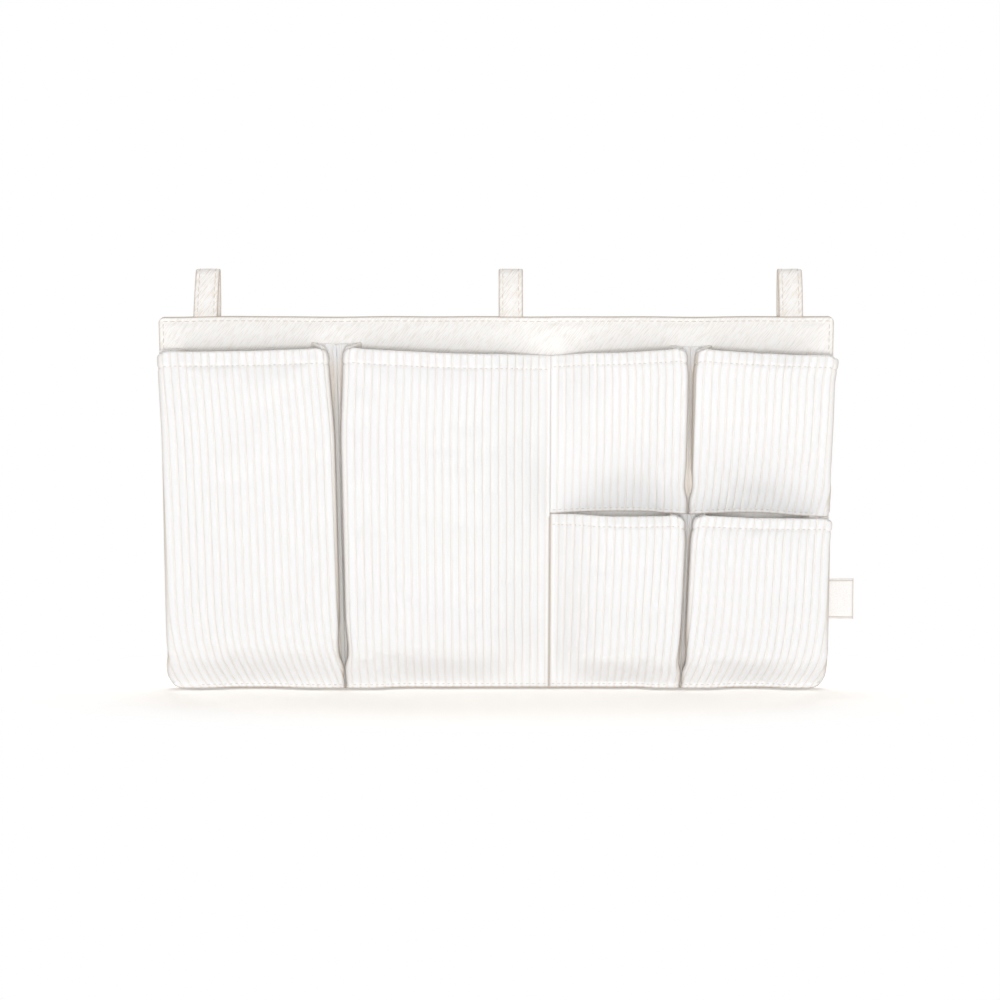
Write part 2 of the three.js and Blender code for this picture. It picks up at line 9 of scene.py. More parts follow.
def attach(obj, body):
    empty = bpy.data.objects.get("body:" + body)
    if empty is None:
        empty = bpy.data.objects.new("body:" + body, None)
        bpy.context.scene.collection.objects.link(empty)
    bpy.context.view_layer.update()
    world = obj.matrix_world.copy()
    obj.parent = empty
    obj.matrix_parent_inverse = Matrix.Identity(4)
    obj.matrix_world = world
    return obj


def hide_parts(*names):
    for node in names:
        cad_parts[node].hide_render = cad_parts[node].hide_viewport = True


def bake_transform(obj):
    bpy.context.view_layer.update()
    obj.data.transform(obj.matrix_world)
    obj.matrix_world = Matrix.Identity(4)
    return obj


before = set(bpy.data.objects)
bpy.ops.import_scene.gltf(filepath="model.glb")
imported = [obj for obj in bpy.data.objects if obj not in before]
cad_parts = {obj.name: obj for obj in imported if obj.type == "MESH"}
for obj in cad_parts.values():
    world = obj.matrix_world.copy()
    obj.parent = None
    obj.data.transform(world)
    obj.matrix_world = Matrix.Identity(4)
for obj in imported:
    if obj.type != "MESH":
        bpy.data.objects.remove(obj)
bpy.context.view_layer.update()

MM = 0.001
BODY = "caddy"

# Panel, as in the part's source
FIT_GAP = 0.3
PANEL_TOP_WIDTH = 420
PANEL_BOTTOM_WIDTH = 412
PANEL_HEIGHT = 234
PANEL_TOP_RADIUS = 4
PANEL_FOOT_RADIUS = 9
PANEL_CLOTH = 1
PANEL_HALF = 2.8
PANEL_Y = -3.4
PANEL_TOP = -27.6
PANEL_FRONT = PANEL_Y - PANEL_HALF
FLOOR_Z = PANEL_TOP - PANEL_HEIGHT

# Topstitching round the panel, and how thick the padded panel is under the thread and in the turned edge
EDGE_STITCH = 2.8
STITCHED_HALF = 1.45
EDGE_HALF = 1.9
PUFF_REACH = 4.5
SEAM_REACH = 3.2
PANEL_GRID_STEP = 2.6
LIP_CLOSED = 0.15
LIP_LABEL = 0.85
LIP_STRAP = 1.05

# How far the panel's faces bulge past the padding, before and after they settle. From the drop HOLD_START on
# the pockets hold the front flat, and fully HOLD_FADE lower.
FRONT_BULGE = (0.45, 0.9)
BACK_BULGE = (0.2, 0.25)
HOLD_START = 15
HOLD_FADE = 8
TOPSTITCH_END = 23
WADDING_GAP = 0.12
BEHIND = 40

# Straps, as in the part's source: the x of each, and how far its foot leans to the right of its crest. A tape
# has the height of its upper end, its length and its foremost y. STRAP_BEND is where a strap's bend at its
# hinge starts behind it, how long it is, and how much it slopes down.
STRAP_WIDTH = 15
STRAP_THICKNESS = 1.8
STRAPS = {"left": (-179.1, -1.7), "middle": (9, 0), "right": (182.2, 1)}
STRAP_SEAM_DEPTH = 7
CREST_FLAT = 2.4
CREST_RADIUS = 2.4
LOOP_BULGE = 2.2
TAIL_Y = 3.4
TAIL_DROP = 44
STRAP_STITCH_INSET = 2.5
# How much of the plain colour is left on the face inside each strap's loop, under its painted shade
LOOP_INSIDE_PAINTED_SHADE = 0.8
TAPE_INSET = 1.2
TAPE_THICKNESS = 1.1
TAPE_BASE = 0.4
HOOK_TAPE = (-44.6, 24, 1.1)
LOOP_TAPE = (-36.6, 36, -0.3)
TAPE_CORNER = 1.6
TAPE_SOFTNESS = 0.1
PILE_INSET = 0.6
TAPE_STITCH_INSET = 0.2

# Half the strap's columns of points, as shares of its half width
STRAP_COLUMNS = (-1, -0.985, -0.94, -0.87, -0.78, -0.72, -0.66, -0.6, -0.52, -0.4, -0.2, 0)

# One hook and one loop of the tapes, as (sideways, share of the height), with the radii of its rings and how
# far apart they stand
HOOK_SHAPE = ((0, 0), (0, 0.45), (0.1, 0.78), (0.34, 0.94), (0.55, 0.72))
HOOK_RADII = (0.13, 0.11, 0.1, 0.09, 0.07)
HOOK_PITCH = 1.15
LOOP_SHAPE = ((-0.45, 0), (-0.4, 0.55), (-0.12, 0.92), (0.18, 0.9), (0.42, 0.5), (0.5, 0))
LOOP_RADII = (0.055,) * 6
LOOP_PITCH = 0.85

# Pocket cloth and folds, as in the part's source
POCKET_CLOTH = 1.6
FLANGE = 3.4
FOOT_MARGIN = 1.2
HEM_TURN = 1
INNER_FOLD = 0.95
FLAT_FOLD = 1.35
OPEN_FOLD = 4
CORNER_DIP = 1.6
EAR_BOW = 1.2
FRONT_LIFT = 1.5
POCKET_CROWN = 2.5
FOOT_GAP = 0.2
FRONT_COUNT = 150
SEAM_GAP = 0.08
SLOPE_SHARE = 0.3
BELLY_START = 1.2
SETTLE_STEP = 4.4
SIDEWAYS_SHARE = 0.35
FOLD_HOLD = 7
TAUT_RELIEF = 0.6
POCKET_CORNER = 10
UPPER_CORNER = 5
EAR_DIP = 0.4
FOOT_STITCH = 2.2
CLOTH_MIDDLE = FIT_GAP + POCKET_CLOTH / 2
PLEAT_STACK = CLOTH_MIDDLE + 2 * INNER_FOLD + 2 * FLAT_FOLD

# Points along a pocket's side. A flat side has its flange and its climb. A pleated one runs from the seam
# to the inner fold, round it, across to the outer fold, out and back round that, and a little way along
# the front.
FLANGE_POINTS = 5
CLIMB_POINTS = 40
RUN_POINTS = 19
INNER_POINTS = 11
CROSS_POINTS = 25
OUT_POINTS = 8
BACK_POINTS = 9
FRONT_POINTS = 10
PAST_FOLD = BACK_POINTS + FRONT_POINTS
PLEAT_POINTS = RUN_POINTS + INNER_POINTS + CROSS_POINTS + OUT_POINTS + PAST_FOLD

# Pockets' places, as in the part's source. The seams lean by these amounts on the way down.
TALL_LEFT_WIDTH = 110.3
TALL_MIDDLE_WIDTH = 133.7
UPPER_INNER_WIDTH = 86.8
LEFT_SEAM_X = -PANEL_TOP_WIDTH / 2 + TALL_LEFT_WIDTH
LEFT_SEAM_LEAN = 5.2
FLAT_SEAM_X = LEFT_SEAM_X + TALL_MIDDLE_WIDTH
FLAT_SEAM_LEAN = 1
RIGHT_SEAM_X = FLAT_SEAM_X + UPPER_INNER_WIDTH
RIGHT_SEAM_LEAN_ABOVE = 1.3
RIGHT_SEAM_LEAN_BELOW = 4.4
UPPER_BOTTOM = 122.9
UPPER_BOTTOM_ARCH = 1.4
UPPER_BOTTOM_SAG = 2.1
LOWER_TOP = UPPER_BOTTOM + 0.2
LEFT_EAR = 16.9
RIGHT_EAR = 18.7
EDGE_EAR_RISE = 0.9
FLAT_SEAM_DROP = 24
FOOT_DROP = PANEL_HEIGHT - FOOT_MARGIN
CORNER_REACH = PANEL_FOOT_RADIUS * math.sqrt(0.5)
CORNER_LIFT = PANEL_FOOT_RADIUS - CORNER_REACH

# Wales of the corduroy
WALE_PITCH = 4.72
WALE_DEPTH = 0.6
GROOVE_WIDTH = 0.62
WALE_CROWN = 0.2
# The grooves between the wales get a painted shade this wide
GROOVE_SHADE_WIDTH = 0.8

# How far the pockets' fronts swell and ripple, and how deep their stitches draw the cloth in
FRONT_WAVE = 0.45
FRONT_RIPPLE = 0.2
FOOT_ROW_DEPTH = 0.3
HEM_ROW_DEPTH = 0.45
HEM_SWELL = 0.22

# Sewing thread. A stitch has its length and the gap after it.
PANEL_STITCH = (3.3, 1.1)
POCKET_STITCH = (1.9, 1.7)
THREAD = 0.26

# How strong the painted shade lines along the edges, folds and flat seams of the cloth are, from 0 to 1
EDGE_SHADE = 0.9
FOLD_SHADE = 0.65
SEAM_SHADE_ABOVE = 0.03
SEAM_SHADE_BELOW = 0.7

# Side label, as in the part's source
LABEL_HEIGHT = 25
LABEL_REACH = 17
LABEL_SEAM_DEPTH = 5
LABEL_LAYER = 0.5
LABEL_FOLD_GAP = 0.3
LABEL_DROP = 177.3
LABEL_STITCH = 1.1
LABEL_ROWS = (0, 0.12, 0.35, 0.8, LABEL_STITCH, 1.4, 1.8, 2.4)

# Colours, as linear light
CREST = (0.914, 0.914, 0.914, 1)
# Painted shade for the grooves between the wales
GROOVE_PAINTED_SHADE = (0.858, 0.828, 0.792, 1)
# Painted warm shade, multiplied into the cloth in the pleats and on the pockets' inner faces
PLEAT_PAINTED_SHADE = (1.02, 0.98, 0.925, 1)
TWILL = (0.985, 0.976, 0.958, 1)
TWILL_SHADE = (0.80, 0.735, 0.66, 1)
# The straps' twill: a darker copy of the panel's twill, painted shade
STRAP_TWILL_PAINTED_SHADE = (0.925, 0.916, 0.902, 1)
# Dark brown painted shade for the lines along edges, folds and flat seams. The label's weave and specks use
# it too, as their own darker colour
EDGE_PAINTED_SHADE_AND_WEAVE_DARK = (0.46, 0.375, 0.29, 1)
PANEL_THREAD = (0.79, 0.72, 0.64, 1)
POCKET_THREAD = (0.82, 0.765, 0.70, 1)
LABEL = (0.975, 0.97, 0.96, 1)
TAPE = (0.90, 0.88, 0.84, 1)
WADDING = (0.9, 0.9, 0.89, 1)
SKY = (1, 0.952, 0.895, 1)
PAPER = ((0.90, 0.88, 0.855, 1), (0.92, 0.90, 0.88, 1))
PAPER_GLOW = (1, 0.985, 0.965, 1)
WHITE = (1, 1, 1, 1)
LAMP_COLOUR = (0.978, 1.006, 1.05)

# How a cloth behaves while it settles, as Blender's Cloth takes it
SETTLING = {
    "vertex_group_mass": "held",
    "pin_stiffness": 1,
    "quality": 6,
    "mass": 0.3,
    "air_damping": 4,
    "tension_stiffness": 40,
    "compression_stiffness": 40,
    "shear_stiffness": 20,
    "bending_stiffness": 0.6,
}
SETTLING_STEPS = 20

# The pull on a settling cloth in metres per second squared, how much bigger than its place it is, and the
# furthest in millimetres that it may move
PANEL_PULL = (3, -2)
PANEL_GROWTH = 0.012
PANEL_CAP = 1.2
POCKET_PULL = (0, -1.5, -6)
POCKET_GROWTH = 0.009
POCKET_CAP = 2

# Light: the world's strength, and each lamp's place in metres, its width and height, and its power in
# watts. The floor glows a little for the camera and in the light that it sends back.
WORLD_LIGHT = 0.39
LAMP_TARGET = (0, 0, -0.14)
LAMPS = {
    "key": ((-0.7, -2.1, 0.75), (1.2, 1.2), 3),
    "front": ((0.03, -2.5, -0.03), (0.22, 0.42), 28.2),
    "back": ((0.1, 1.1, 2.3), (1.4, 1.4), 24),
    "rear_left": ((-2.2, 0.9, 0.2), (0.8, 0.8), 14),
    "rear_right": ((2.2, 0.9, 0.2), (0.8, 0.8), 14),
}
FLOOR_HALF = 3000
FLOOR_CLEARANCE = 0.2
FLOOR_GLOW = 0.34
FLOOR_LIFT = 0.14
FADE_START = 0.2
FADE_END = 0.35

# The drawing shows the caddy straight on and from a little above. The camera's distance is in metres, and
# VIEW_WIDTH is the width that the picture shows at the caddy.
CAMERA_DISTANCE = 2.4
CAMERA_ELEVATION = 7
CAMERA_TARGET = (2.3, -3.4, -142.6)
SENSOR_WIDTH = 36
VIEW_WIDTH = 625.5


def lerp(a, b, share):
    return a + (b - a) * share


def smooth(share):
    share = np.clip(share, 0, 1)
    return share * share * (3 - 2 * share)


def bump(distance, width):
    return np.exp(-((distance / width) ** 2))


def waves(x, y, size, seed):
    """Gentle unevenness of about -1 to 1, with waves of about the given size."""
    draw = np.random.default_rng(seed)
    total = np.zeros(np.broadcast(x, y).shape)
    count = 7
    for _ in range(count):
        heading = draw.uniform(0, math.tau)
        length = size * draw.uniform(0.7, 1.6)
        phase = draw.uniform(0, math.tau)
        total += np.sin((x * math.cos(heading) + y * math.sin(heading)) * math.tau / length + phase)
    return total / math.sqrt(2 * count)


# Meshes


def vectors(*parts):
    """Points or directions from their coordinates."""
    return np.stack(np.broadcast_arrays(*parts), axis=-1)


def facing_row(toward, *parts):
    """A row of points with normals along y."""
    points = vectors(*parts)
    return points, np.tile((0.0, float(toward), 0.0), (len(points), 1))


def mesh_object(name, points, faces, look, flat_map=None, marks=None):
    """An object from points in millimetres. flat_map gives each point's place on the flat cloth, and marks
    its values that the material reads, by their names."""
    mesh = bpy.data.meshes.new(name)
    mesh.from_pydata((points * MM).tolist(), [], faces if isinstance(faces, list) else faces.tolist())
    mesh.shade_smooth()
    mesh.materials.append(look)
    if flat_map is not None:
        corners = np.empty(len(mesh.loops), np.int32)
        mesh.loops.foreach_get("vertex_index", corners)
        layer = mesh.uv_layers.new(name="flat")
        layer.data.foreach_set("uv", (flat_map[corners] * MM).astype(np.float32).ravel())
    for mark, values in (marks or {}).items():
        mesh.attributes.new(mark, "FLOAT", "POINT").data.foreach_set("value", values.astype(np.float32))
    obj = bpy.data.objects.new(name, mesh)
    bpy.context.scene.collection.objects.link(obj)
    return obj


def grid_faces(columns, rows):
    index = np.arange(columns * rows).reshape(columns, rows)
    corners = index[:-1, :-1], index[1:, :-1], index[1:, 1:], index[:-1, 1:]
    return np.stack(corners, axis=-1).reshape(-1, 4)


def shell_faces(columns, rows):
    """Faces of a closed cloth: an outer grid of points, an inner one behind it, and their rim."""
    outer = grid_faces(columns, rows)
    index = np.arange(columns * rows).reshape(columns, rows)
    rim = np.concatenate([index[:, 0], index[-1, 1:], index[-2::-1, -1], index[0, -2:0:-1]])
    following = np.roll(rim, -1)
    behind = columns * rows
    sides = vectors(following, rim, rim + behind, following + behind)
    return np.concatenate([outer, outer[:, ::-1] + behind, sides])


def cloth(name, outer, inner, look, flat_map, marks=None):
    """A cloth between two grids of points. Each of its marks is given on the outer and the inner one."""
    points = np.concatenate([outer.reshape(-1, 3), inner.reshape(-1, 3)])
    doubled = np.concatenate([flat_map.reshape(-1, 2)] * 2)
    both = {}
    for mark, faces in (marks or {}).items():
        both[mark] = np.concatenate([face.ravel() for face in faces])
    return mesh_object(name, points, shell_faces(*outer.shape[:2]), look, doubled, both)


def grid_normals(points):
    across = np.gradient(points, axis=0)
    up = np.gradient(points, axis=1)
    normal = np.cross(across, up)
    return normal / np.maximum(np.linalg.norm(normal, axis=-1, keepdims=True), 1e-9)


def along_line(points):
    lengths = np.linalg.norm(np.diff(points, axis=0), axis=1)
    return np.concatenate([[0], np.cumsum(lengths)])


def along(at, reach, values):
    """The vectors at some distances along a line, from those at its points."""
    return np.stack([np.interp(at, reach, values[:, axis]) for axis in range(3)], axis=-1)


def tubes(centres, normals, radii, sides):
    """Points and faces of many small closed tubes. centres and normals are (tube, ring, 3) and radii
    (ring,)."""
    count, rings = centres.shape[:2]
    ahead = np.gradient(centres, axis=1)
    ahead /= np.maximum(np.linalg.norm(ahead, axis=-1, keepdims=True), 1e-9)
    side = np.cross(ahead, normals)
    side /= np.maximum(np.linalg.norm(side, axis=-1, keepdims=True), 1e-9)
    out = np.cross(side, ahead)
    angle = np.arange(sides) * math.tau / sides
    spread = side[:, :, None] * np.cos(angle)[:, None] + out[:, :, None] * np.sin(angle)[:, None]
    points = centres[:, :, None] + spread * radii[:, None, None]
    ring = np.arange(sides)
    after = np.roll(ring, -1)
    start = (np.arange(rings - 1) * sides)[:, None]
    wall = vectors(start + ring, start + after, start + sides + after, start + sides + ring)
    faces = []
    for tube in range(count):
        first = tube * rings * sides
        faces += (wall.reshape(-1, 4) + first).tolist()
        faces.append((first + ring[::-1]).tolist())
        faces.append((first + (rings - 1) * sides + ring).tolist())
    return points.reshape(-1, 3), faces


def stitches(name, lines, look, size=PANEL_STITCH):
    """Stitches of thread that lie on the cloth along lines, each given as its points and the cloth's
    normals. size is the length of a stitch and of the gap after it."""
    length, gap = size
    share = np.linspace(0, 1, 6)
    radii = THREAD * (0.7 + 0.3 * np.sin(math.pi * share))
    centres, normals = [], []
    for points, outward in lines:
        reach = along_line(points)
        count = max(1, round(reach[-1] / (length + gap)))
        pitch = reach[-1] / count
        start = (np.arange(count) + 0.5) * pitch - length / 2
        at = start[:, None] + length * share
        place = along(at, reach, points)
        facing = along(at, reach, outward)
        rise = THREAD * (1.5 * np.sin(math.pi * share) - 0.75)
        centres.append(place + facing * rise[:, None])
        normals.append(facing)
    points, faces = tubes(np.concatenate(centres), np.concatenate(normals), radii, 6)
    return mesh_object(name, points, faces, look)


def on_surface(obj, points, towards):
    """Points moved along a direction onto an object's surface, with the surface's normals there."""
    tree = BVHTree.FromObject(obj, bpy.context.evaluated_depsgraph_get())
    heading = Vector(towards)
    hits = [tree.ray_cast(Vector(point * MM) - heading * 0.2, heading)[:2] for point in points]
    found = [(place, normal) for place, normal in hits if place is not None]
    return np.array([place for place, _ in found]) / MM, np.array([normal for _, normal in found])


# Cloth settling


def settle(points, held, push, growth, cap):
    """Lets a grid of cloth sag and crease. held is 1 where it is sewn down and less where it is only
    stiff. push is the pull on the cloth in metres per second squared, growth how much bigger the cloth is
    than its place, and cap the furthest in millimetres that a point may move. Returns how far each point
    moves."""
    columns, rows = points.shape[:2]
    mesh = bpy.data.meshes.new("settling")
    mesh.from_pydata((points.reshape(-1, 3) * MM).tolist(), [], grid_faces(columns, rows).tolist())
    obj = bpy.data.objects.new("settling", mesh)
    scene = bpy.context.scene
    scene.collection.objects.link(obj)
    group = obj.vertex_groups.new(name="held")
    for k, weight in enumerate(held.ravel()):
        group.add([k], float(weight), "REPLACE")
    modifier = obj.modifiers.new("settling", "CLOTH")
    for setting, value in SETTLING.items():
        setattr(modifier.settings, setting, value)
    modifier.settings.shrink_min = -growth
    modifier.settings.effector_weights.gravity = 1
    gravity = tuple(scene.gravity)
    scene.gravity = push
    for step in range(SETTLING_STEPS):
        scene.frame_set(step + 1)
    settled = obj.evaluated_get(bpy.context.evaluated_depsgraph_get()).to_mesh()
    moved = np.empty(columns * rows * 3, np.float32)
    settled.vertices.foreach_get("co", moved)
    scene.frame_set(1)
    scene.gravity = gravity
    bpy.data.objects.remove(obj)
    bpy.data.meshes.remove(mesh)
    shift = moved.reshape(columns, rows, 3) / MM - points
    length = np.linalg.norm(shift, axis=-1, keepdims=True)
    return shift * np.minimum(1, cap / np.maximum(length, 1e-9))


def spread_shift(shift, columns, rows, fine_columns, fine_rows):
    """A shift that is known on a coarse grid, on a finer one."""
    across = np.apply_along_axis(lambda line: np.interp(fine_columns, columns, line), 0, shift)
    return np.apply_along_axis(lambda line: np.interp(fine_rows, rows, line), 1, across)


def thinned(values, step):
    """Indices of values about a step apart, with both ends."""
    kept = [0]
    for k, value in enumerate(values):
        if value - values[kept[-1]] >= step:
            kept.append(k)
    if kept[-1] != len(values) - 1:
        kept[-1] = len(values) - 1
    return np.array(kept)


# Materials


def node(tree, kind, inputs=(), **settings):
    made = tree.nodes.new("ShaderNode" + kind)
    for name, value in settings.items():
        setattr(made, name, value)
    for name, value in dict(inputs).items():
        if isinstance(value, bpy.types.NodeSocket):
            tree.links.new(value, made.inputs[name])
        else:
            made.inputs[name].default_value = value
    return made


def start_material(name, source="UVMap"):
    """A new material, its nodes and a place on the cloth: flat on it, or in the object."""
    made = bpy.data.materials.new(name)
    made.use_nodes = True
    tree = made.node_tree
    if source == "UVMap":
        return made, tree, node(tree, "UVMap", uv_map="flat").outputs["UV"]
    return made, tree, node(tree, "TexCoord").outputs["Object"]


def finish_material(made, colour, normal, values):
    """Joins a colour and a normal to a material's shader, and sets the shader's own values."""
    tree = made.node_tree
    shader = tree.nodes["Principled BSDF"]
    tree.links.new(colour, shader.inputs["Base Color"])
    tree.links.new(normal, shader.inputs["Normal"])
    for name, value in values.items():
        shader.inputs[name].default_value = value
    return made


def shaded(colour, share):
    return tuple(c * share for c in colour[:3]) + (1,)


def combined(tree, operation, first, second):
    return node(tree, "Math", {0: first, 1: second}, operation=operation).outputs[0]


def mark_value(tree, mark):
    return node(tree, "Attribute", attribute_name=mark).outputs["Fac"]


def mixed(tree, factor, low, high, blend="MIX"):
    """A colour between two colours. Each is a colour or a socket."""
    mix = node(tree, "Mix", data_type="RGBA", blend_type=blend)
    for socket, value in ((mix.inputs[0], factor), (mix.inputs[6], low), (mix.inputs[7], high)):
        if isinstance(value, bpy.types.NodeSocket):
            tree.links.new(value, socket)
        else:
            socket.default_value = value
    return mix.outputs[2]


def ranged(tree, value, low, high, to_low=0.0, to_high=1.0):
    inputs = {"Value": value, "From Min": low, "From Max": high, "To Min": to_low, "To Max": to_high}
    return node(tree, "MapRange", inputs, interpolation_type="SMOOTHSTEP").outputs["Result"]


def noise(tree, place, size, detail=2.0, stretch=(1, 1, 1), turn=0.0):
    """Noise with features of about size metres, stretched along the cloth."""
    scale = [1 / (size * factor) for factor in stretch]
    turned = node(tree, "Mapping", {"Vector": place, "Rotation": (0, 0, turn)}).outputs[0]
    scaled = node(tree, "Mapping", {"Vector": turned, "Scale": scale}).outputs[0]
    inputs = {"Vector": scaled, "Scale": 1.0, "Detail": detail, "Roughness": 0.6}
    return node(tree, "TexNoise", inputs).outputs["Fac"]


def raised(tree, height, distance, strength, below=None):
    inputs = {"Height": height, "Distance": distance, "Strength": strength}
    if below is not None:
        inputs["Normal"] = below
    return node(tree, "Bump", inputs).outputs["Normal"]


def with_painted_edge_shade(tree, colour):
    """A colour with a dark line of painted shade along the cloth's edges, folds and flat seams."""
    return mixed(tree, mark_value(tree, "ground"), EDGE_PAINTED_SHADE_AND_WEAVE_DARK, colour)


def corduroy():
    look, tree, place = start_material("white_corduroy")
    pile = noise(tree, place, 0.00028, 3, (1, 3.2, 1))
    tufts = noise(tree, place, 0.0011, 2, (1, 1.7, 1))
    patches = noise(tree, place, 0.03, 2)
    crest = mixed(tree, ranged(tree, pile, 0.3, 0.7), shaded(CREST, 0.955), CREST)
    worn = mixed(tree, ranged(tree, patches, 0.35, 0.7), shaded(CREST, 0.985), CREST)
    # Painted shade in the grooves: where the wale mark is low, broken up by tufts, the colour goes to the
    # groove shade
    broken = combined(tree, "ADD", mark_value(tree, "wale"), ranged(tree, tufts, 0.25, 0.75, -0.10, 0.10))
    ribbed = mixed(tree, ranged(tree, broken, 0.02, 0.95), GROOVE_PAINTED_SHADE, mixed(tree, 0.5, crest, worn))
    # Painted warm shade in the pleats and on the inner faces, where the pleat mark is 1
    pleat_shaded = mixed(tree, 1.0, ribbed, PLEAT_PAINTED_SHADE, "MULTIPLY")
    colour = with_painted_edge_shade(tree, mixed(tree, mark_value(tree, "pleat"), ribbed, pleat_shaded))
    normal = raised(tree, pile, 0.0002, 0.5, raised(tree, tufts, 0.00035, 0.35))
    finish = {"Roughness": 0.95, "Sheen Weight": 0.12, "Sheen Roughness": 0.6, "Specular IOR Level": 0.15}
    return finish_material(look, colour, normal, finish)


def twill(name, base, strokes):
    """Cream twill. strokes is how much of the shade between its threads shows."""
    look, tree, place = start_material(name)
    fine_strokes = noise(tree, place, 0.0006, 2, (14, 1, 1), math.radians(-52))
    broad_strokes = noise(tree, place, 0.0009, 2, (12, 1, 1), math.radians(-46))
    threads = noise(tree, place, 0.00035, 2)
    fine = ranged(tree, fine_strokes, 0.44, 0.66)
    broad = ranged(tree, broad_strokes, 0.52, 0.72, 0.0, 0.75)
    drawn = ranged(tree, combined(tree, "MAXIMUM", fine, broad), 0.0, 1.0, 0.0, strokes)
    shade = mixed(tree, drawn, base, TWILL_SHADE)
    colour = with_painted_edge_shade(tree, mixed(tree, ranged(tree, threads, 0.35, 0.8, 0.0, 0.10), shade, TWILL_SHADE))
    normal = raised(tree, fine_strokes, 0.0003, 0.5, raised(tree, threads, 0.00015, 0.35))
    finish = {"Roughness": 0.9, "Sheen Weight": 0.08, "Specular IOR Level": 0.2}
    return finish_material(look, colour, normal, finish)


def label_look():
    look, tree, place = start_material("woven_label")
    bands = []
    for way, scale in (("X", 620.0), ("Y", 460.0)):
        inputs = {"Vector": place, "Scale": scale, "Distortion": 0.6}
        bands.append(node(tree, "TexWave", inputs, bands_direction=way).outputs["Fac"])
    weave = combined(tree, "MAXIMUM", *bands)
    specks = noise(tree, place, 0.0009, 2)
    speckled = mixed(tree, ranged(tree, specks, 0.3, 0.75, 0.0, 0.17), LABEL, EDGE_PAINTED_SHADE_AND_WEAVE_DARK)
    colour = with_painted_edge_shade(tree, mixed(tree, ranged(tree, weave, 0.4, 1.0, 0.08, 0.0), speckled, EDGE_PAINTED_SHADE_AND_WEAVE_DARK))
    normal = raised(tree, weave, 0.00012, 0.4)
    return finish_material(look, colour, normal, {"Roughness": 0.6, "Sheen Weight": 0.1})


def fibrous(name, base, darker, fibres, relief, roughness):
    """A plain look of fibres. darker is how dark the colour gets between them, fibres their size in
    metres, detail and stretch, and relief their height and its strength."""
    look, tree, place = start_material(name, "Object")
    grain = noise(tree, place, *fibres)
    colour = mixed(tree, ranged(tree, grain, 0.3, 0.7), shaded(base, darker), base)
    return finish_material(look, colour, raised(tree, grain, *relief), {"Roughness": roughness})


def thread_look(name, colour):
    return fibrous(name, colour, 0.8, (0.0006, 2, (1, 1, 0.4)), (0.0001, 0.5), 0.7)


def tape_look():
    return fibrous("fastener_tape", TAPE, 0.86, (0.0004, 3), (0.0002, 0.6), 0.6)


def wadding_look():
    return fibrous("wadding", WADDING, 0.9, (0.002, 4), (0.001, 0.8), 1)


# Panel


def panel_half_width(drop):
    return lerp(PANEL_TOP_WIDTH, PANEL_BOTTOM_WIDTH, drop / PANEL_HEIGHT) / 2


def left_seam(drop):
    return LEFT_SEAM_X + LEFT_SEAM_LEAN * drop / PANEL_HEIGHT


def flat_seam(drop):
    return FLAT_SEAM_X - FLAT_SEAM_LEAN * drop / PANEL_HEIGHT


def right_seam(drop):
    upper = np.minimum(1, drop / UPPER_BOTTOM)
    lower = np.maximum(0, (drop - UPPER_BOTTOM) / (PANEL_HEIGHT - UPPER_BOTTOM))
    return RIGHT_SEAM_X - RIGHT_SEAM_LEAN_ABOVE * upper - RIGHT_SEAM_LEAN_BELOW * lower


SEAMS = ((left_seam, LEFT_EAR), (flat_seam, FLAT_SEAM_DROP), (right_seam, RIGHT_EAR))


def panel_lines(length):
    """Distances of grid lines from one edge of the panel, close together where the edge is turned and
    topstitched, and each line's number counted from its nearer edge."""
    near = [0, 0, 0.15, 0.45, 0.9, 1.4, 1.9, 2.35, EDGE_STITCH, 3.3, 4, 5, 6.5, 8.5, 11]
    count = math.ceil((length - 2 * near[-1]) / PANEL_GRID_STEP)
    middle = np.linspace(near[-1], length - near[-1], count + 1)[1:-1]
    places = np.concatenate([near, middle, length - np.array(near[::-1])])
    order = np.minimum(np.arange(len(places)), len(places) - 1 - np.arange(len(places)))
    return places, order


def edge_profile(distance, order, lip):
    """Height of the panel's face above its middle plane, near its turned edge."""
    turned = EDGE_HALF * np.sqrt(np.maximum(0.12, 1 - np.maximum(0, 1 - distance / 1.1) ** 2))
    turned = np.where(order == 0, lip, np.where(order == 1, np.maximum(lip, 0.36 * EDGE_HALF), turned))
    sewn = turned - (EDGE_HALF - STITCHED_HALF) * bump(distance - EDGE_STITCH, 0.75)
    past = np.maximum(0, distance - EDGE_STITCH)
    puffed = STITCHED_HALF + (PANEL_HALF - STITCHED_HALF) * (1 - np.exp(-past / PUFF_REACH))
    return np.where(distance > EDGE_STITCH, puffed, sewn)


def edge_distances(across, down):
    return np.minimum(across, PANEL_TOP_WIDTH - across), np.minimum(down, PANEL_HEIGHT - down)


def edge_lips(across, down):
    """How far the panel's edges stay open at its sides, for the label, and at its top, for the straps."""
    flat_x = across - PANEL_TOP_WIDTH / 2
    at_straps = sum(1 - smooth((abs(flat_x - x - lean) - 8) / 2.5) for x, lean in STRAPS.values())
    from_label = abs(down - LABEL_DROP) - LABEL_HEIGHT / 2 - 0.5
    at_label = (1 - smooth(from_label / 3)) * (flat_x > 0)
    return lerp(LIP_CLOSED, LIP_LABEL, at_label), lerp(LIP_CLOSED, LIP_STRAP, at_straps * (down < 20))


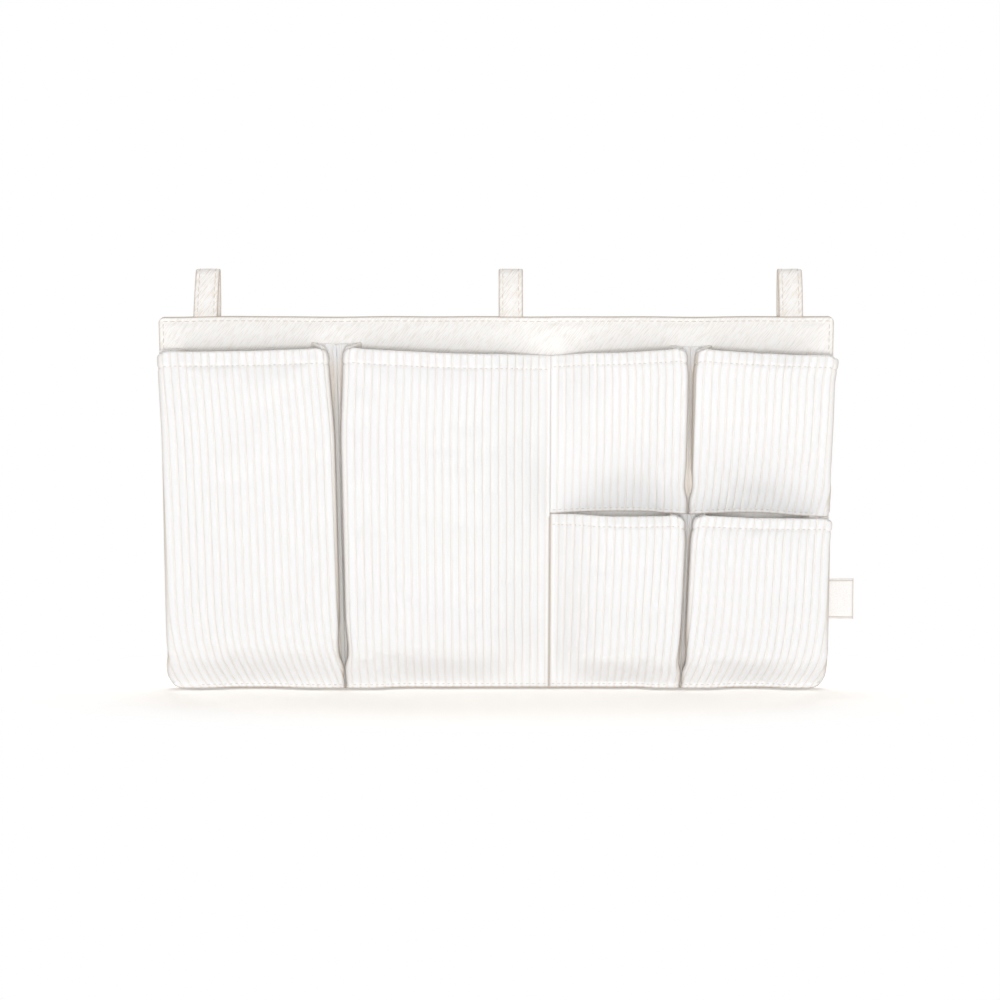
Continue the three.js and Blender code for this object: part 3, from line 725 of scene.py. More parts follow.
def panel_places(across, down, inset_x, inset_z):
    """Where points lie, as x and z, that are inset from the panel's edges. Its corners are rounded and its
    edges a little wavy."""
    flat_x = across - PANEL_TOP_WIDTH / 2
    in_x, in_z = edge_distances(across, down)
    upper = down < PANEL_HEIGHT / 2
    radius = np.where(upper, PANEL_TOP_RADIUS, PANEL_FOOT_RADIUS)
    p = np.clip(1 - inset_x / radius, 0, 1)
    q = np.clip(1 - inset_z / radius, 0, 1)
    corner = (p > 0) & (q > 0)
    round_x = np.where(corner, radius * (1 - p * np.sqrt(1 - q * q / 2)), inset_x)
    round_z = np.where(corner, radius * (1 - q * np.sqrt(1 - p * p / 2)), inset_z)
    drop = np.where(upper, round_z, PANEL_HEIGHT - round_z)
    wavy = 0.32 * waves(flat_x, 0 * down, 62, 5) * (1 - smooth(in_z / 9)) * upper
    narrowed = panel_half_width(drop) / (PANEL_TOP_WIDTH / 2)
    x = np.where(flat_x < 0, -1, 1) * (PANEL_TOP_WIDTH / 2 - round_x) * narrowed
    x = x + 0.25 * waves(0 * flat_x, down, 70, 9) * (1 - smooth(in_x / 9))
    return x, PANEL_TOP - drop + wavy


def from_foot_row(x, drop):
    """How far a place is from the stitches along the foot of the upper pockets."""
    return np.hypot(drop - UPPER_BOTTOM + FOOT_STITCH, np.maximum(0, FLAT_SEAM_X - x))


def drawn_in(height, x, drop, in_x, in_z):
    """The height of the panel's face, lower where the pockets are sewn through it."""
    depth = PANEL_HALF - STITCHED_HALF
    for seam, start in SEAMS:
        beyond = np.maximum(0, np.maximum(start - drop, drop - PANEL_HEIGHT))
        away = np.hypot(x - seam(drop), beyond)
        height = height - depth * np.exp(-away / SEAM_REACH) * smooth(in_z / 6)
    return height - depth * np.exp(-from_foot_row(x, drop) / SEAM_REACH) * smooth(in_x / 6)


def uneven_face(side, x, z, in_z, inside):
    """Low lumps of the padding and the puckers that its topstitching draws."""
    pucker = 0.16 * np.sin(x * math.tau / 7.3 + 2 * waves(x, z, 40, 3)) * bump(in_z - EDGE_STITCH - 1.2, 2.4)
    lumps = (0.28 * waves(x, z, 30, 11 + side) + 0.2 * waves(x + z, x - z, 16, 21 + side)) * inside
    return lumps + pucker * (in_z > 1)


def settled_panel(side, face, loose, inside, in_x, in_z):
    """How far the panel's face moves as it settles. loose is 0 where the pockets hold it."""
    x, drop = face[..., 0], PANEL_TOP - face[..., 2]
    columns = thinned(np.arange(face.shape[0]), 2)
    rows = thinned(np.arange(face.shape[1]), 2)
    sewn = np.maximum(bump(np.minimum(in_x, in_z), 3.2), np.exp(-from_foot_row(x, drop) / 2.5))
    for seam, _ in SEAMS:
        sewn = np.maximum(sewn, np.exp(-abs(x - seam(drop)) / 2.5) * smooth((drop - HOLD_START) / 5))
    held = np.clip(0.06 + sewn, 0, 1)
    pull = (0, PANEL_PULL[0] * side, PANEL_PULL[1])
    moved = settle(face[columns][:, rows], held[columns][:, rows], pull, PANEL_GROWTH, PANEL_CAP)
    shift = spread_shift(moved, columns, rows, *map(np.arange, face.shape[:2]))
    shift[..., 1] = np.clip(shift[..., 1] * side, -0.7, 0.55) * side * loose
    return shift * inside[..., None]


def panel_grid(side):
    """One face of the panel. side is -1 for the front and 1 for the back. Returns the outer and inner grid,
    the flat places, the indices of the topstitched lines and the mark of painted shade along the edge."""
    across, across_order = panel_lines(PANEL_TOP_WIDTH)
    down, down_order = panel_lines(PANEL_HEIGHT)
    if side > 0:
        across = across[::-1]
    down = down[::-1]
    stitched_side = EDGE_STITCH if side < 0 else PANEL_TOP_WIDTH - EDGE_STITCH
    column = int(np.argmin(abs(across[: len(across) // 2] - stitched_side)))
    row = int(np.argmin(abs(down[: len(down) // 2] - (PANEL_HEIGHT - EDGE_STITCH))))
    across, across_order = across[:, None], across_order[:, None]
    in_x, in_z = edge_distances(across, down)
    lip_x, lip_z = edge_lips(across, down)
    height = np.minimum(edge_profile(in_x, across_order, lip_x), edge_profile(in_z, down_order, lip_z))

    x, z = panel_places(across, down, in_x, in_z)
    drop = PANEL_TOP - z
    height = np.maximum(drawn_in(height, x, drop, in_x, in_z), np.minimum(lip_x, lip_z))
    inside = smooth((np.minimum(in_x, in_z) - EDGE_STITCH) / 4)
    loose = 1 - (smooth((drop - HOLD_START) / HOLD_FADE) if side < 0 else 0)
    bulge, settled_bulge = FRONT_BULGE if side < 0 else BACK_BULGE
    height = height + uneven_face(side, x, z, in_z, inside) * loose
    height = np.minimum(height, PANEL_HALF + bulge * loose)
    face = vectors(x, PANEL_Y + side * height, z)
    outer = face + settled_panel(side, face, loose, inside, in_x, in_z)
    limit = PANEL_HALF + settled_bulge * loose
    outer[..., 1] = PANEL_Y + side * np.minimum(abs(outer[..., 1] - PANEL_Y), limit)

    deeper_x = in_x + PANEL_CLOTH * np.exp(-in_x / PANEL_CLOTH)
    deeper_z = in_z + PANEL_CLOTH * np.exp(-in_z / PANEL_CLOTH)
    inner_x, inner_z = panel_places(across, down, deeper_x, deeper_z)
    lowest = np.minimum(lip_x, lip_z) + 0.05 * np.minimum(2, np.minimum(across_order, down_order))
    inner_height = np.maximum(abs(outer[..., 1] - PANEL_Y) - PANEL_CLOTH, lowest)
    inner = vectors(inner_x, PANEL_Y + side * inner_height, inner_z)
    # Painted shade line along the panel's edges
    ground = 1 - EDGE_SHADE * bump(np.minimum(in_x, in_z), 0.6)
    flat_map = vectors(side * -x, z)
    return outer, inner, flat_map, (column, row), ground


def panel_stitch_lines(outer, stitched, until_drop=None):
    """The topstitched line round a face of the panel, whole or down its sides as far as until_drop."""
    column, row = stitched
    normals = grid_normals(outer)
    last_column, last_row = outer.shape[0] - 1 - column, outer.shape[1] - 1 - row
    up_left = [(column, j) for j in range(row, last_row + 1)]
    top = [(i, last_row) for i in range(column + 1, last_column + 1)]
    down_right = [(last_column, j) for j in range(last_row - 1, row - 1, -1)]
    foot = [(i, row) for i in range(last_column - 1, column - 1, -1)]
    path = up_left + top + down_right + (foot if until_drop is None else [])
    points = np.array([outer[i, j] for i, j in path])
    facing = np.array([normals[i, j] for i, j in path])
    if until_drop is not None:
        kept = points[:, 2] > PANEL_TOP - until_drop
        points, facing = points[kept], facing[kept]
    return [(points, facing)]


def pocket_stitch_lines(back):
    """The pockets' stitches where they come through on the panel's back."""
    lines = []
    drops = np.linspace(LEFT_EAR, PANEL_HEIGHT - EDGE_STITCH, 70)
    for seam, start in SEAMS:
        kept = drops[drops >= start]
        line = vectors(seam(kept), BEHIND, PANEL_TOP - kept)
        lines.append(on_surface(back, line, (0, -1, 0)))
    xs = np.linspace(FLAT_SEAM_X + 2, PANEL_TOP_WIDTH / 2 - 6, 60)
    line = vectors(xs, BEHIND, PANEL_TOP - UPPER_BOTTOM + FOOT_STITCH)
    lines.append(on_surface(back, line, (0, -1, 0)))
    return lines


def build_wadding(front, back, look):
    """The padding between the inner grids of the panel's two faces."""
    front, back = front.copy(), back[::-1].copy()
    front[..., 1] = np.minimum(front[..., 1] + WADDING_GAP, PANEL_Y - 0.02)
    back[..., 1] = np.maximum(back[..., 1] - WADDING_GAP, PANEL_Y + 0.02)
    for sheet in (front, back):
        sheet[..., 0] *= 1 - 2 * WADDING_GAP / PANEL_TOP_WIDTH
    pad = cloth("wadding_pad", front, back, look, front[..., [0, 2]])
    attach(pad, BODY)
    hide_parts("padding_core")


def build_panel(twill_cloth, panel_thread, wadding):
    inner_grids = []
    pieces = (-1, "panel_front_cloth", "front_panel"), (1, "panel_back_cloth", "back_panel")
    for side, name, node_name in pieces:
        outer, inner, flat_map, stitched, ground = panel_grid(side)
        obj = cloth(name, outer, inner, twill_cloth, flat_map, {"ground": (ground, np.ones_like(ground))})
        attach(obj, BODY)
        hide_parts(node_name)
        lines = panel_stitch_lines(outer, stitched, TOPSTITCH_END if side < 0 else None)
        if side > 0:
            lines += pocket_stitch_lines(obj)
        thread = stitches(name + "_stitches", lines, panel_thread)
        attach(thread, BODY)
        inner_grids.append(inner)
    build_wadding(*inner_grids, wadding)


# Pockets


def edge_seam(side):
    """The panel's side edge, round its lower corner."""

    def seam(drop):
        into = np.maximum(0, drop - PANEL_HEIGHT + PANEL_FOOT_RADIUS)
        inset = PANEL_FOOT_RADIUS - np.sqrt(PANEL_FOOT_RADIUS**2 - into**2)
        return side * (panel_half_width(drop) - inset)

    return seam


def foot_at(x):
    from_edge = panel_half_width(PANEL_HEIGHT) - abs(x)
    return FOOT_DROP - CORNER_LIFT * np.maximum(0, 1 - from_edge / CORNER_REACH) ** 2


def upper_bottom_at(x):
    from_seam = np.minimum(1, abs(x - RIGHT_SEAM_X) / UPPER_INNER_WIDTH)
    sag = np.where(x > RIGHT_SEAM_X, UPPER_BOTTOM_SAG * smooth(from_seam), 0)
    return UPPER_BOTTOM - UPPER_BOTTOM_ARCH * np.sin(math.pi * from_seam) + sag


# Sides of the pockets. A pleated side folds in under the front as far as underlay. It stays off its seam
# by gap_top at the mouth and by gap_middle below it, and corner is how far its top corner is rounded. A
# side with a rise is sewn flat, and climbs to the front over that width. front is the drop of a side's top
# edge, ear that of the cloth sewn to the panel, and foot that of the bottom edge.
LEFT_PLEAT = dict(seam=left_seam, underlay=15, gap_top=4, gap_middle=1.6, corner=2.8)
RIGHT_PLEAT = dict(seam=right_seam, underlay=12.5, gap_top=2.4, gap_middle=1.2, corner=1.8)
EDGE_PLEAT = dict(underlay=16, corner=1.4, at_edge=True)


def edge_pleat(side, gap_top, gap_middle, front, foot):
    places = dict(front=front, ear=front - EDGE_EAR_RISE, foot=foot)
    return dict(EDGE_PLEAT, seam=edge_seam(side), gap_top=gap_top, gap_middle=gap_middle, **places)


# Kinds of pockets. mouth and belly are the depths of the front above and below, belly_height how high the
# belly reaches, hem the depth of the hem's stitches, bottom the drop of the bottom edge, and corner that
# drop at the outer corner with the corner's radius. The gaps beside a pocket change over mouth_zone below
# its mouth, and are wide again at the height parted. sweep_height is how fast the sweep of the wales ends
# above the foot.
TALL = dict(
    mouth=21, belly=26, belly_height=30, hem=9, mouth_zone=60, parted=28, sweep_height=21,
    bottom=foot_at, corner=(FOOT_DROP, POCKET_CORNER),
)
UPPER = dict(
    mouth=20, belly=9.5, belly_height=66, hem=7.4, mouth_zone=17, parted=18, sweep_height=15,
    bottom=upper_bottom_at, corner=(UPPER_BOTTOM + UPPER_BOTTOM_SAG, UPPER_CORNER),
)
LOWER = dict(
    mouth=22, belly=23, belly_height=22, hem=6.7, mouth_zone=15, parted=21, sweep_height=18,
    bottom=foot_at, corner=(FOOT_DROP, POCKET_CORNER),
)

# For each pocket its two sides, where one groove of the corduroy meets the mouth, how much its wales are
# stretched, how far they lean at the left and right of the front, and how far they sweep sideways just
# above the foot. Folds are soft creases: start and end as (x, drop), width and height.
POCKETS = {
    "pocket_tall_left": dict(
        TALL,
        left=edge_pleat(-1, 0.3, 1.4, 21.4, FOOT_DROP - CORNER_LIFT),
        right=dict(LEFT_PLEAT, front=19.2, ear=LEFT_EAR, foot=FOOT_DROP),
        groove=-163.9,
        stretch=0.97,
        lean=(4.0, 2.0),
        sweep=(11.5, 8.0),
        folds=[
            ((-108, 28), (-165, 50), 5, 0.7),
            ((-112, 38), (-160, 62), 6, -0.6),
            ((-130, 48), (-160, 98), 7, 0.8),
            ((-120, 52), (-146, 104), 7, -0.6),
        ],
    ),
    "pocket_tall_middle": dict(
        TALL,
        left=dict(LEFT_PLEAT, front=18.8, ear=LEFT_EAR, foot=FOOT_DROP),
        right=dict(seam=flat_seam, rise=52, front=FLAT_SEAM_DROP, foot=FOOT_DROP),
        groove=-45.1,
        stretch=1.02,
        lean=(-1.5, 0),
        sweep=(0.8, 0),
        folds=[((-80, 205), (-92, 225), 5, 0.6), ((-60, 208), (-66, 226), 6, -0.5)],
    ),
    "pocket_upper_inner": dict(
        UPPER,
        left=dict(seam=flat_seam, rise=40, front=FLAT_SEAM_DROP, foot=UPPER_BOTTOM),
        right=dict(RIGHT_PLEAT, front=19.5, ear=RIGHT_EAR, foot=UPPER_BOTTOM),
        groove=70.4,
        stretch=0.98,
        lean=(0, 0.4),
        sweep=(0, -0.5),
        folds=[],
    ),
    "pocket_upper_outer": dict(
        UPPER,
        left=dict(RIGHT_PLEAT, front=19.7, ear=RIGHT_EAR, foot=UPPER_BOTTOM),
        right=edge_pleat(1, -1.9, -0.3, 24.1, UPPER_BOTTOM + UPPER_BOTTOM_SAG),
        groove=154.9,
        stretch=1.01,
        lean=(-0.6, -1.6),
        sweep=(-3.0, -4.4),
        folds=[((200, 30), (188, 70), 6, 0.5)],
    ),
    "pocket_lower_inner": dict(
        LOWER,
        left=dict(seam=flat_seam, rise=30, front=LOWER_TOP, foot=FOOT_DROP),
        right=dict(RIGHT_PLEAT, front=LOWER_TOP, ear=LOWER_TOP, foot=FOOT_DROP),
        groove=72.45,
        stretch=1.03,
        lean=(-1.2, -2.2),
        sweep=(-0.8, -1.6),
        folds=[],
    ),
    "pocket_lower_outer": dict(
        LOWER,
        left=dict(RIGHT_PLEAT, front=LOWER_TOP, ear=LOWER_TOP, foot=FOOT_DROP),
        right=edge_pleat(1, -1, 0, LOWER_TOP + UPPER_BOTTOM_SAG, FOOT_DROP - CORNER_LIFT),
        groove=160.6,
        stretch=0.99,
        lean=(-2.0, -2.4),
        sweep=(-8.0, -10.0),
        folds=[((200, 212), (186, 228), 5, 0.5)],
    ),
}


def arc(centre, radius, start, end, count):
    angle = np.linspace(start, end, count)
    return centre + radius * vectors(np.cos(angle), np.sin(angle))


def steps(start, end, count):
    """Even steps from a start towards an end, without the end."""
    return np.linspace(start, end, count + 1)[:-1]


def side_count(side):
    return FLANGE_POINTS + CLIMB_POINTS if "rise" in side else PLEAT_POINTS


def half_gap(side, pocket, rise, from_top):
    """Half the gap between two pockets, at a height above the foot, and how much of it is local: where it
    is wide above the foot, closed at the foot and rounded at the top."""
    if "rise" in side:
        return 0, 0
    up = rise / pocket["parted"]
    plain = lerp(side["gap_top"], side["gap_middle"], smooth(from_top / pocket["mouth_zone"]))
    gap = plain + 0.3 * side["gap_top"] * math.exp(-(((up - 1) / 0.4) ** 2))
    closed = min(FOOT_GAP, side["gap_middle"])
    gap = lerp(closed, gap, smooth((up - 0.45) / 0.4))
    gap += side["corner"] * max(0, 1 - from_top / (1.6 * side["corner"])) ** 2
    return gap, gap - plain


def side_line(side, gap, swell, wall):
    """One side of a pocket at one height, from its seam to the front, as (distance from the seam, depth).
    gap is how far its fold stays from the seam."""
    seam = (SEAM_GAP, CLOTH_MIDDLE)
    if "rise" in side:
        share = np.linspace(0, 1, CLIMB_POINTS)
        depth = lerp(CLOTH_MIDDLE, wall, swell)
        rising = lerp(CLOTH_MIDDLE, depth, np.sin(math.pi / 2 * share))
        climb = vectors(FLANGE + side["rise"] * share, rising)
        return np.concatenate([steps(seam, climb[0], FLANGE_POINTS), climb])
    depth = lerp(PLEAT_STACK, wall, swell)
    radius = lerp(FLAT_FOLD, OPEN_FOLD, math.sqrt(swell))
    inner = np.array([side["underlay"] - INNER_FOLD, CLOTH_MIDDLE + INNER_FOLD])
    outer = np.array([gap + POCKET_CLOTH / 2 + radius, depth - radius])
    apart = outer - inner
    crossing = math.asin(min(1, (INNER_FOLD + radius) / np.hypot(*apart)))
    heading = min(math.atan2(apart[1], apart[0]) + crossing, math.pi)
    inner_arc = arc(inner, INNER_FOLD, -math.pi / 2, heading - math.pi / 2, INNER_POINTS + 1)
    out_arc = arc(outer, radius, heading + math.pi / 2, math.pi, OUT_POINTS + 1)
    front_arc = arc(outer, radius, math.pi, math.pi / 2, BACK_POINTS + 1)
    parts = [
        steps(seam, inner_arc[0], RUN_POINTS),
        inner_arc[:-1],
        steps(inner_arc[-1], out_arc[0], CROSS_POINTS),
        out_arc[:-1],
        front_arc[:-1],
        np.linspace(front_arc[-1], (side["underlay"] + POCKET_CLOTH, depth), FRONT_POINTS),
    ]
    return np.concatenate(parts)


def side_top(side, drop):
    """How far down the top edge is along a side, and 1 where its hem is turned in."""
    if "rise" in side:
        settled = drop + FRONT_LIFT * (1 - smooth(np.linspace(0, 1.6, len(drop))))
        plain = FLANGE_POINTS + 1
        return settled, np.concatenate([np.zeros(plain), np.ones(len(drop) - plain)])
    under = RUN_POINTS + INNER_POINTS
    turned = OUT_POINTS + BACK_POINTS
    bow = EAR_BOW * np.sin(math.pi / 2 * np.linspace(0, 1, under))
    gusset = side["ear"] + lerp(-EAR_BOW, EAR_DIP, steps(0, 1, CROSS_POINTS))
    turn = steps(0, 1, turned)
    dip = lerp(side["ear"] + EAR_DIP, drop[-FRONT_POINTS], turn) + CORNER_DIP * np.sin(math.pi * turn)
    top = np.concatenate([side["ear"] - bow, gusset, dip, drop[-FRONT_POINTS:]])
    hemmed = [np.zeros(under), smooth(np.linspace(0, 1.5, CROSS_POINTS)), np.ones(turned + FRONT_POINTS)]
    return top, np.concatenate(hemmed)


def pocket_heights(height, hem, belly_height):
    """Heights of a pocket's rows of points above its bottom edge."""
    foot = [0, 0.35, 0.8, 1.3, 1.8, FOOT_STITCH, 2.6, 3, FLANGE]
    belly = FLANGE + belly_height * np.linspace(0, 1, 17)[1:] ** 1.15
    wall_end = height - hem - 3
    wall = np.linspace(belly[-1], wall_end, math.ceil((wall_end - belly[-1]) / 2.6) + 1)[1:]
    round_hem = height - hem + np.array([-2.1, -1.4, -0.9, -0.45, 0, 0.45, 0.9, 1.5, 2.2, 3.2])
    top = height - np.array([2.6, 1.9, 1.3, 0.9, 0.6, 0.35, 0.15, 0.03])
    return np.concatenate([foot, belly, wall, round_hem, top])


def wale_places(start, end, groove, pitch):
    """Places across the cloth, close together in its grooves, with how far each is from a groove."""
    offsets = pitch * np.array([-0.5, -0.36, -0.25, -0.165, -0.1, -0.045, 0.0, 0.045, 0.1, 0.165, 0.25, 0.36])
    numbers = np.arange(math.floor((start - groove) / pitch), math.ceil((end - groove) / pitch) + 1)
    places = (groove + pitch * numbers[:, None] + offsets).ravel()
    places = np.concatenate([[start], places[(places > start + 0.15) & (places < end - 0.15)], [end]])
    from_groove = abs(((places - groove) / pitch + 0.5) % 1 - 0.5) * pitch
    return places, from_groove


def crease(x, drop, start, end, width, height):
    """A soft fold in the cloth, highest in its middle."""
    a, b = np.array(start, float), np.array(end, float)
    line = b - a
    share = ((x - a[0]) * line[0] + (drop - a[1]) * line[1]) / (line @ line)
    away = abs((x - a[0]) * line[1] - (drop - a[1]) * line[0]) / np.hypot(*line)
    taper = np.sin(math.pi * np.clip(share, 0, 1)) * (share > 0) * (share < 1)
    return height * bump(away, width) * taper


def round_corner(surface, sign, foot, radius):
    """Rounds a pocket's lower outer corner. foot is the drop of its bottom edge."""
    in_x = panel_half_width(foot) - sign * surface[..., 0]
    in_z = surface[..., 2] - PANEL_TOP + foot
    p = np.clip(1 - in_x / radius, 0, 1)
    q = np.clip(1 - in_z / radius, 0, 1)
    surface[..., 0] -= sign * radius * p * (1 - np.sqrt(1 - q * q / 2))
    surface[..., 2] += radius * q * (1 - np.sqrt(1 - p * p / 2))


def pocket_row(pocket, rise, height):
    """A pocket's cloth at one height above its foot. Returns its line as (x, depth), how far along it its
    points are, the places of its ends and folds, and the local part of the gap on either side."""
    share = rise / height
    into_belly = np.clip((rise - FLANGE) / pocket["belly_height"], 0, 1)
    swell = math.sin(math.pi / 2 * into_belly**BELLY_START)
    wall = lerp(pocket["belly"], pocket["mouth"], smooth(share))
    middle = lerp(CLOTH_MIDDLE, wall + POCKET_CROWN, swell)
    parts, local_gaps, folds = [], [], []
    for side, sign in ((pocket["left"], 1), (pocket["right"], -1)):
        gap, local_gap = half_gap(side, pocket, rise, height - rise)
        points = side_line(side, gap, swell, wall)
        seam = side["seam"](lerp(side["foot"], side["front"], share))
        parts.append(vectors(seam + sign * points[:, 0], points[:, 1]))
        local_gaps.append(local_gap)
        folds.append(0 if "rise" in side else len(points) - PAST_FOLD)
    begin, finish = parts[0][-1], parts[1][-1]
    across = np.linspace(0, 1, FRONT_COUNT + 2)[1:-1]
    crown = smooth(np.minimum(across, 1 - across) / 0.42)
    depth = lerp(lerp(begin[1], finish[1], across), middle, crown)
    front = vectors(lerp(begin[0], finish[0], across), depth)
    line = np.concatenate([parts[0], front, parts[1][::-1]])
    first, last = folds[0], len(line) - 1 - folds[1]
    between = np.arange(len(line) - 1)
    weight = np.where((between >= first) & (between < last), SLOPE_SHARE, 1)
    step = np.diff(line, axis=0)
    reach = np.concatenate([[0], np.cumsum(np.hypot(step[:, 0], step[:, 1] * weight))])
    return line, reach, (0, reach[first], reach[last], reach[-1]), local_gaps


def pocket_edges(pocket, foot_x, up):
    """The drop of each point of a pocket's rows, and 1 where its hem is turned in. up is each row's share
    of the height."""
    left, right = pocket["left"], pocket["right"]
    first, last = side_count(left), side_count(right)
    share = (foot_x - foot_x[0]) / (foot_x[-1] - foot_x[0])
    level = lerp(left["front"], right["front"], share) - FRONT_LIFT
    left_top, left_hem = side_top(left, level[:first])
    right_top, right_hem = side_top(right, level[::-1][:last])
    top = np.concatenate([left_top, level[first : len(level) - last], right_top[::-1]])
    hemmed = np.concatenate([left_hem, np.ones(FRONT_COUNT), right_hem[::-1]])
    return lerp(pocket["bottom"](foot_x), top, up[:, None]), hemmed


def front_share(columns, knots):
    """How much each column of a pocket belongs to its front."""
    start, end = knots[1], knots[3] - knots[2]
    share = smooth((columns - start - 3) / 9) if start else smooth(columns / 14)
    return share * smooth((columns[-1] - columns - end - 3 * (end > 0)) / (9 if end else 14))


def row_places(pocket, columns, knots, rise, height, gaps):
    """Where the wales lie in one row. They lean and sweep sideways, and stay with the folds where a gap is
    wide."""
    _, first, last, end = knots
    share = np.clip((columns - first) / (last - first), 0, 1)
    from_left = smooth(columns / (first or 12))
    from_right = smooth((columns[-1] - columns) / (end - last or 12))
    fall = 1 - rise / height
    lean = lerp(pocket["lean"][0] * (1 - (1 - fall) ** 2), pocket["lean"][1] * fall, share)
    fading = math.exp(-rise / pocket["sweep_height"]) * (1 - smooth((rise - 20) / 50))
    places = columns + (lean + lerp(*pocket["sweep"], share) * fading) * from_left * from_right
    places -= gaps[0] * (1 - share) * (1 - np.exp(-np.maximum(0, columns - first) / FOLD_HOLD))
    places += gaps[1] * share * (1 - np.exp(-np.maximum(0, last - columns) / FOLD_HOLD))
    return places


def pocket_surface(pocket):
    """The middle of a pocket's cloth. Returns its points, the places of its columns and rows, how far each
    column is from a groove, how much of the hem each point has, how much each column belongs to the front,
    the pocket's height, and how far the points are past its left and right fold."""
    left, right = pocket["left"], pocket["right"]
    height = (left["foot"] - left["front"] + right["foot"] - right["front"]) / 2
    heights = pocket_heights(height, pocket["hem"], pocket["belly_height"])
    rows = [pocket_row(pocket, rise, height) for rise in heights]
    lines, reaches, knots, local_gaps = zip(*rows, strict=True)
    lines = np.array(lines)
    drop, hemmed = pocket_edges(pocket, lines[0, :, 0], heights / height)
    surface = vectors(lines[..., 0], PANEL_FRONT - lines[..., 1], PANEL_TOP - drop)
    for side, sign in ((left, -1), (right, 1)):
        if "at_edge" in side:
            round_corner(surface, sign, *pocket["corner"])

    in_front = slice(side_count(left) - FRONT_POINTS, lines.shape[1] - side_count(right) + FRONT_POINTS)
    groove = np.interp(pocket["groove"], lines[-1, in_front, 0], reaches[-1][in_front])
    columns, from_groove = wale_places(0, reaches[-1][-1], groove, WALE_PITCH * pocket["stretch"])
    points = np.empty((len(columns), len(heights), 3))
    hem = np.empty(points.shape[:2])
    places = np.empty(points.shape[:2])
    for j, rise in enumerate(heights):
        places[:, j] = row_places(pocket, columns, knots[-1], rise, height, local_gaps[j])
        place = np.interp(places[:, j], knots[-1], knots[j])
        points[:, j] = along(place, reaches[j], surface[j])
        hem[:, j] = np.interp(place, reaches[j], hemmed)
    from_folds = places - knots[-1][1], knots[-1][2] - places
    return points, columns, heights, from_groove, hem, front_share(columns, knots[-1]), height, from_folds


def pocket_marks(pocket, heights, height, from_groove, from_folds, drop):
    """Marks for the painted shade on a pocket's cloth: in its grooves, in its pleats, and in the dark lines
    along its bottom edge, folds and flat seams. Its inner face has the pleats' painted shade all over."""
    whole = np.ones(drop.shape)
    # wale is 0 in the grooves, where their painted shade goes, and 1 on the crests
    wale = whole * (1 - bump(from_groove, GROOVE_SHADE_WIDTH))[:, None]
    pleat = 0 * whole
    # Painted shade lines along the bottom edge, each fold and each flat seam
    shade = EDGE_SHADE * bump(heights, 0.6)[None, :] * whole
    for side, into in zip((pocket["left"], pocket["right"]), from_folds, strict=True):
        if "rise" in side:
            strength = np.where(drop > LOWER_TOP, SEAM_SHADE_BELOW, SEAM_SHADE_ABOVE)
            shade = np.maximum(shade, strength * bump(into, 0.8))
        else:
            shade = np.maximum(shade, FOLD_SHADE * bump(into, 1.2))
            # Painted warm shade inside the pleat, fading out towards the mouth
            pleat = np.maximum(pleat, smooth(-into / 3) * smooth((height - heights - 4) / 14)[None, :])
    return {"wale": (wale, whole), "pleat": (pleat, whole), "ground": (1 - shade, whole)}


def sag_and_crease(pocket, points, columns, heights, height, on_front, seed):
    """Moves the points of a pocket's front: soft unevenness and creases, and what the cloth does as it
    settles."""
    x, drop = points[..., 0], PANEL_TOP - points[..., 2]
    loose = on_front[:, None] * smooth((heights - 6) / 14)[None, :]
    forward = (FRONT_WAVE * waves(x, drop, 60, seed) + FRONT_RIPPLE * waves(x, drop, 26, seed + 50)) * loose
    for start, end, width, rise in pocket["folds"]:
        forward += crease(x, drop, start, end, width, rise) * loose
    points[..., 1] -= forward * (1 - 0.5 * smooth((heights / height - 0.9) / 0.1))[None, :]

    kept_columns, kept_rows = thinned(columns, SETTLE_STEP), thinned(heights, SETTLE_STEP)
    stiff = 0.10 + 0.9 * (1 - loose) + 0.25 * (heights > height - pocket["hem"])[None, :]
    held = np.clip(stiff, 0, 1)[kept_columns][:, kept_rows]
    moved = settle(points[kept_columns][:, kept_rows], held, POCKET_PULL, POCKET_GROWTH, POCKET_CAP)
    moved[..., 0] *= SIDEWAYS_SHARE
    shift = spread_shift(moved, columns[kept_columns], heights[kept_rows], columns, heights)
    points += shift * loose[..., None]


def pocket_faces(pocket, points, columns, heights, height, from_groove, hem):
    """The outer and inner face of a pocket's cloth, with wales, hem and the rows where the stitches draw
    it in."""
    normals = grid_normals(points)
    from_top = height - heights
    half_hem = (POCKET_CLOTH + HEM_TURN) / 2
    rounding = np.sqrt(1 - (1 - np.clip(from_top / half_hem, 0, 1)) ** 2)
    turned = HEM_TURN * hem * smooth((heights - height + pocket["hem"] + 0.9) / 0.8)
    centre = -turned / 2
    groove = bump(from_groove, GROOVE_WIDTH)[:, None]
    crest = WALE_CROWN * (1 - from_groove / from_groove.max())[:, None] ** 2
    foot_row = bump(heights - FOOT_STITCH, 0.8)
    hem_row = bump(from_top - pocket["hem"], 0.9) * hem
    softened = 1 - 0.55 * (1 - smooth((heights - 1) / 5))
    taut = np.ones(len(columns))
    for side, from_seam in ((pocket["left"], columns), (pocket["right"], columns[-1] - columns)):
        if "rise" in side:
            taut = taut * lerp(TAUT_RELIEF, 1, smooth(from_seam / side["rise"] - 0.3))
    relief = -(WALE_DEPTH * groove + crest) * taut[:, None] * softened
    relief = relief - FOOT_ROW_DEPTH * foot_row - HEM_ROW_DEPTH * hem_row
    relief += HEM_SWELL * hem * smooth((heights - height + pocket["hem"] - 0.8) / 1.2)
    outer = centre + (POCKET_CLOTH / 2 - centre) * rounding + relief * rounding
    inner = centre - (POCKET_CLOTH / 2 + turned + centre) * rounding
    return points + normals * outer[..., None], points + normals * inner[..., None]


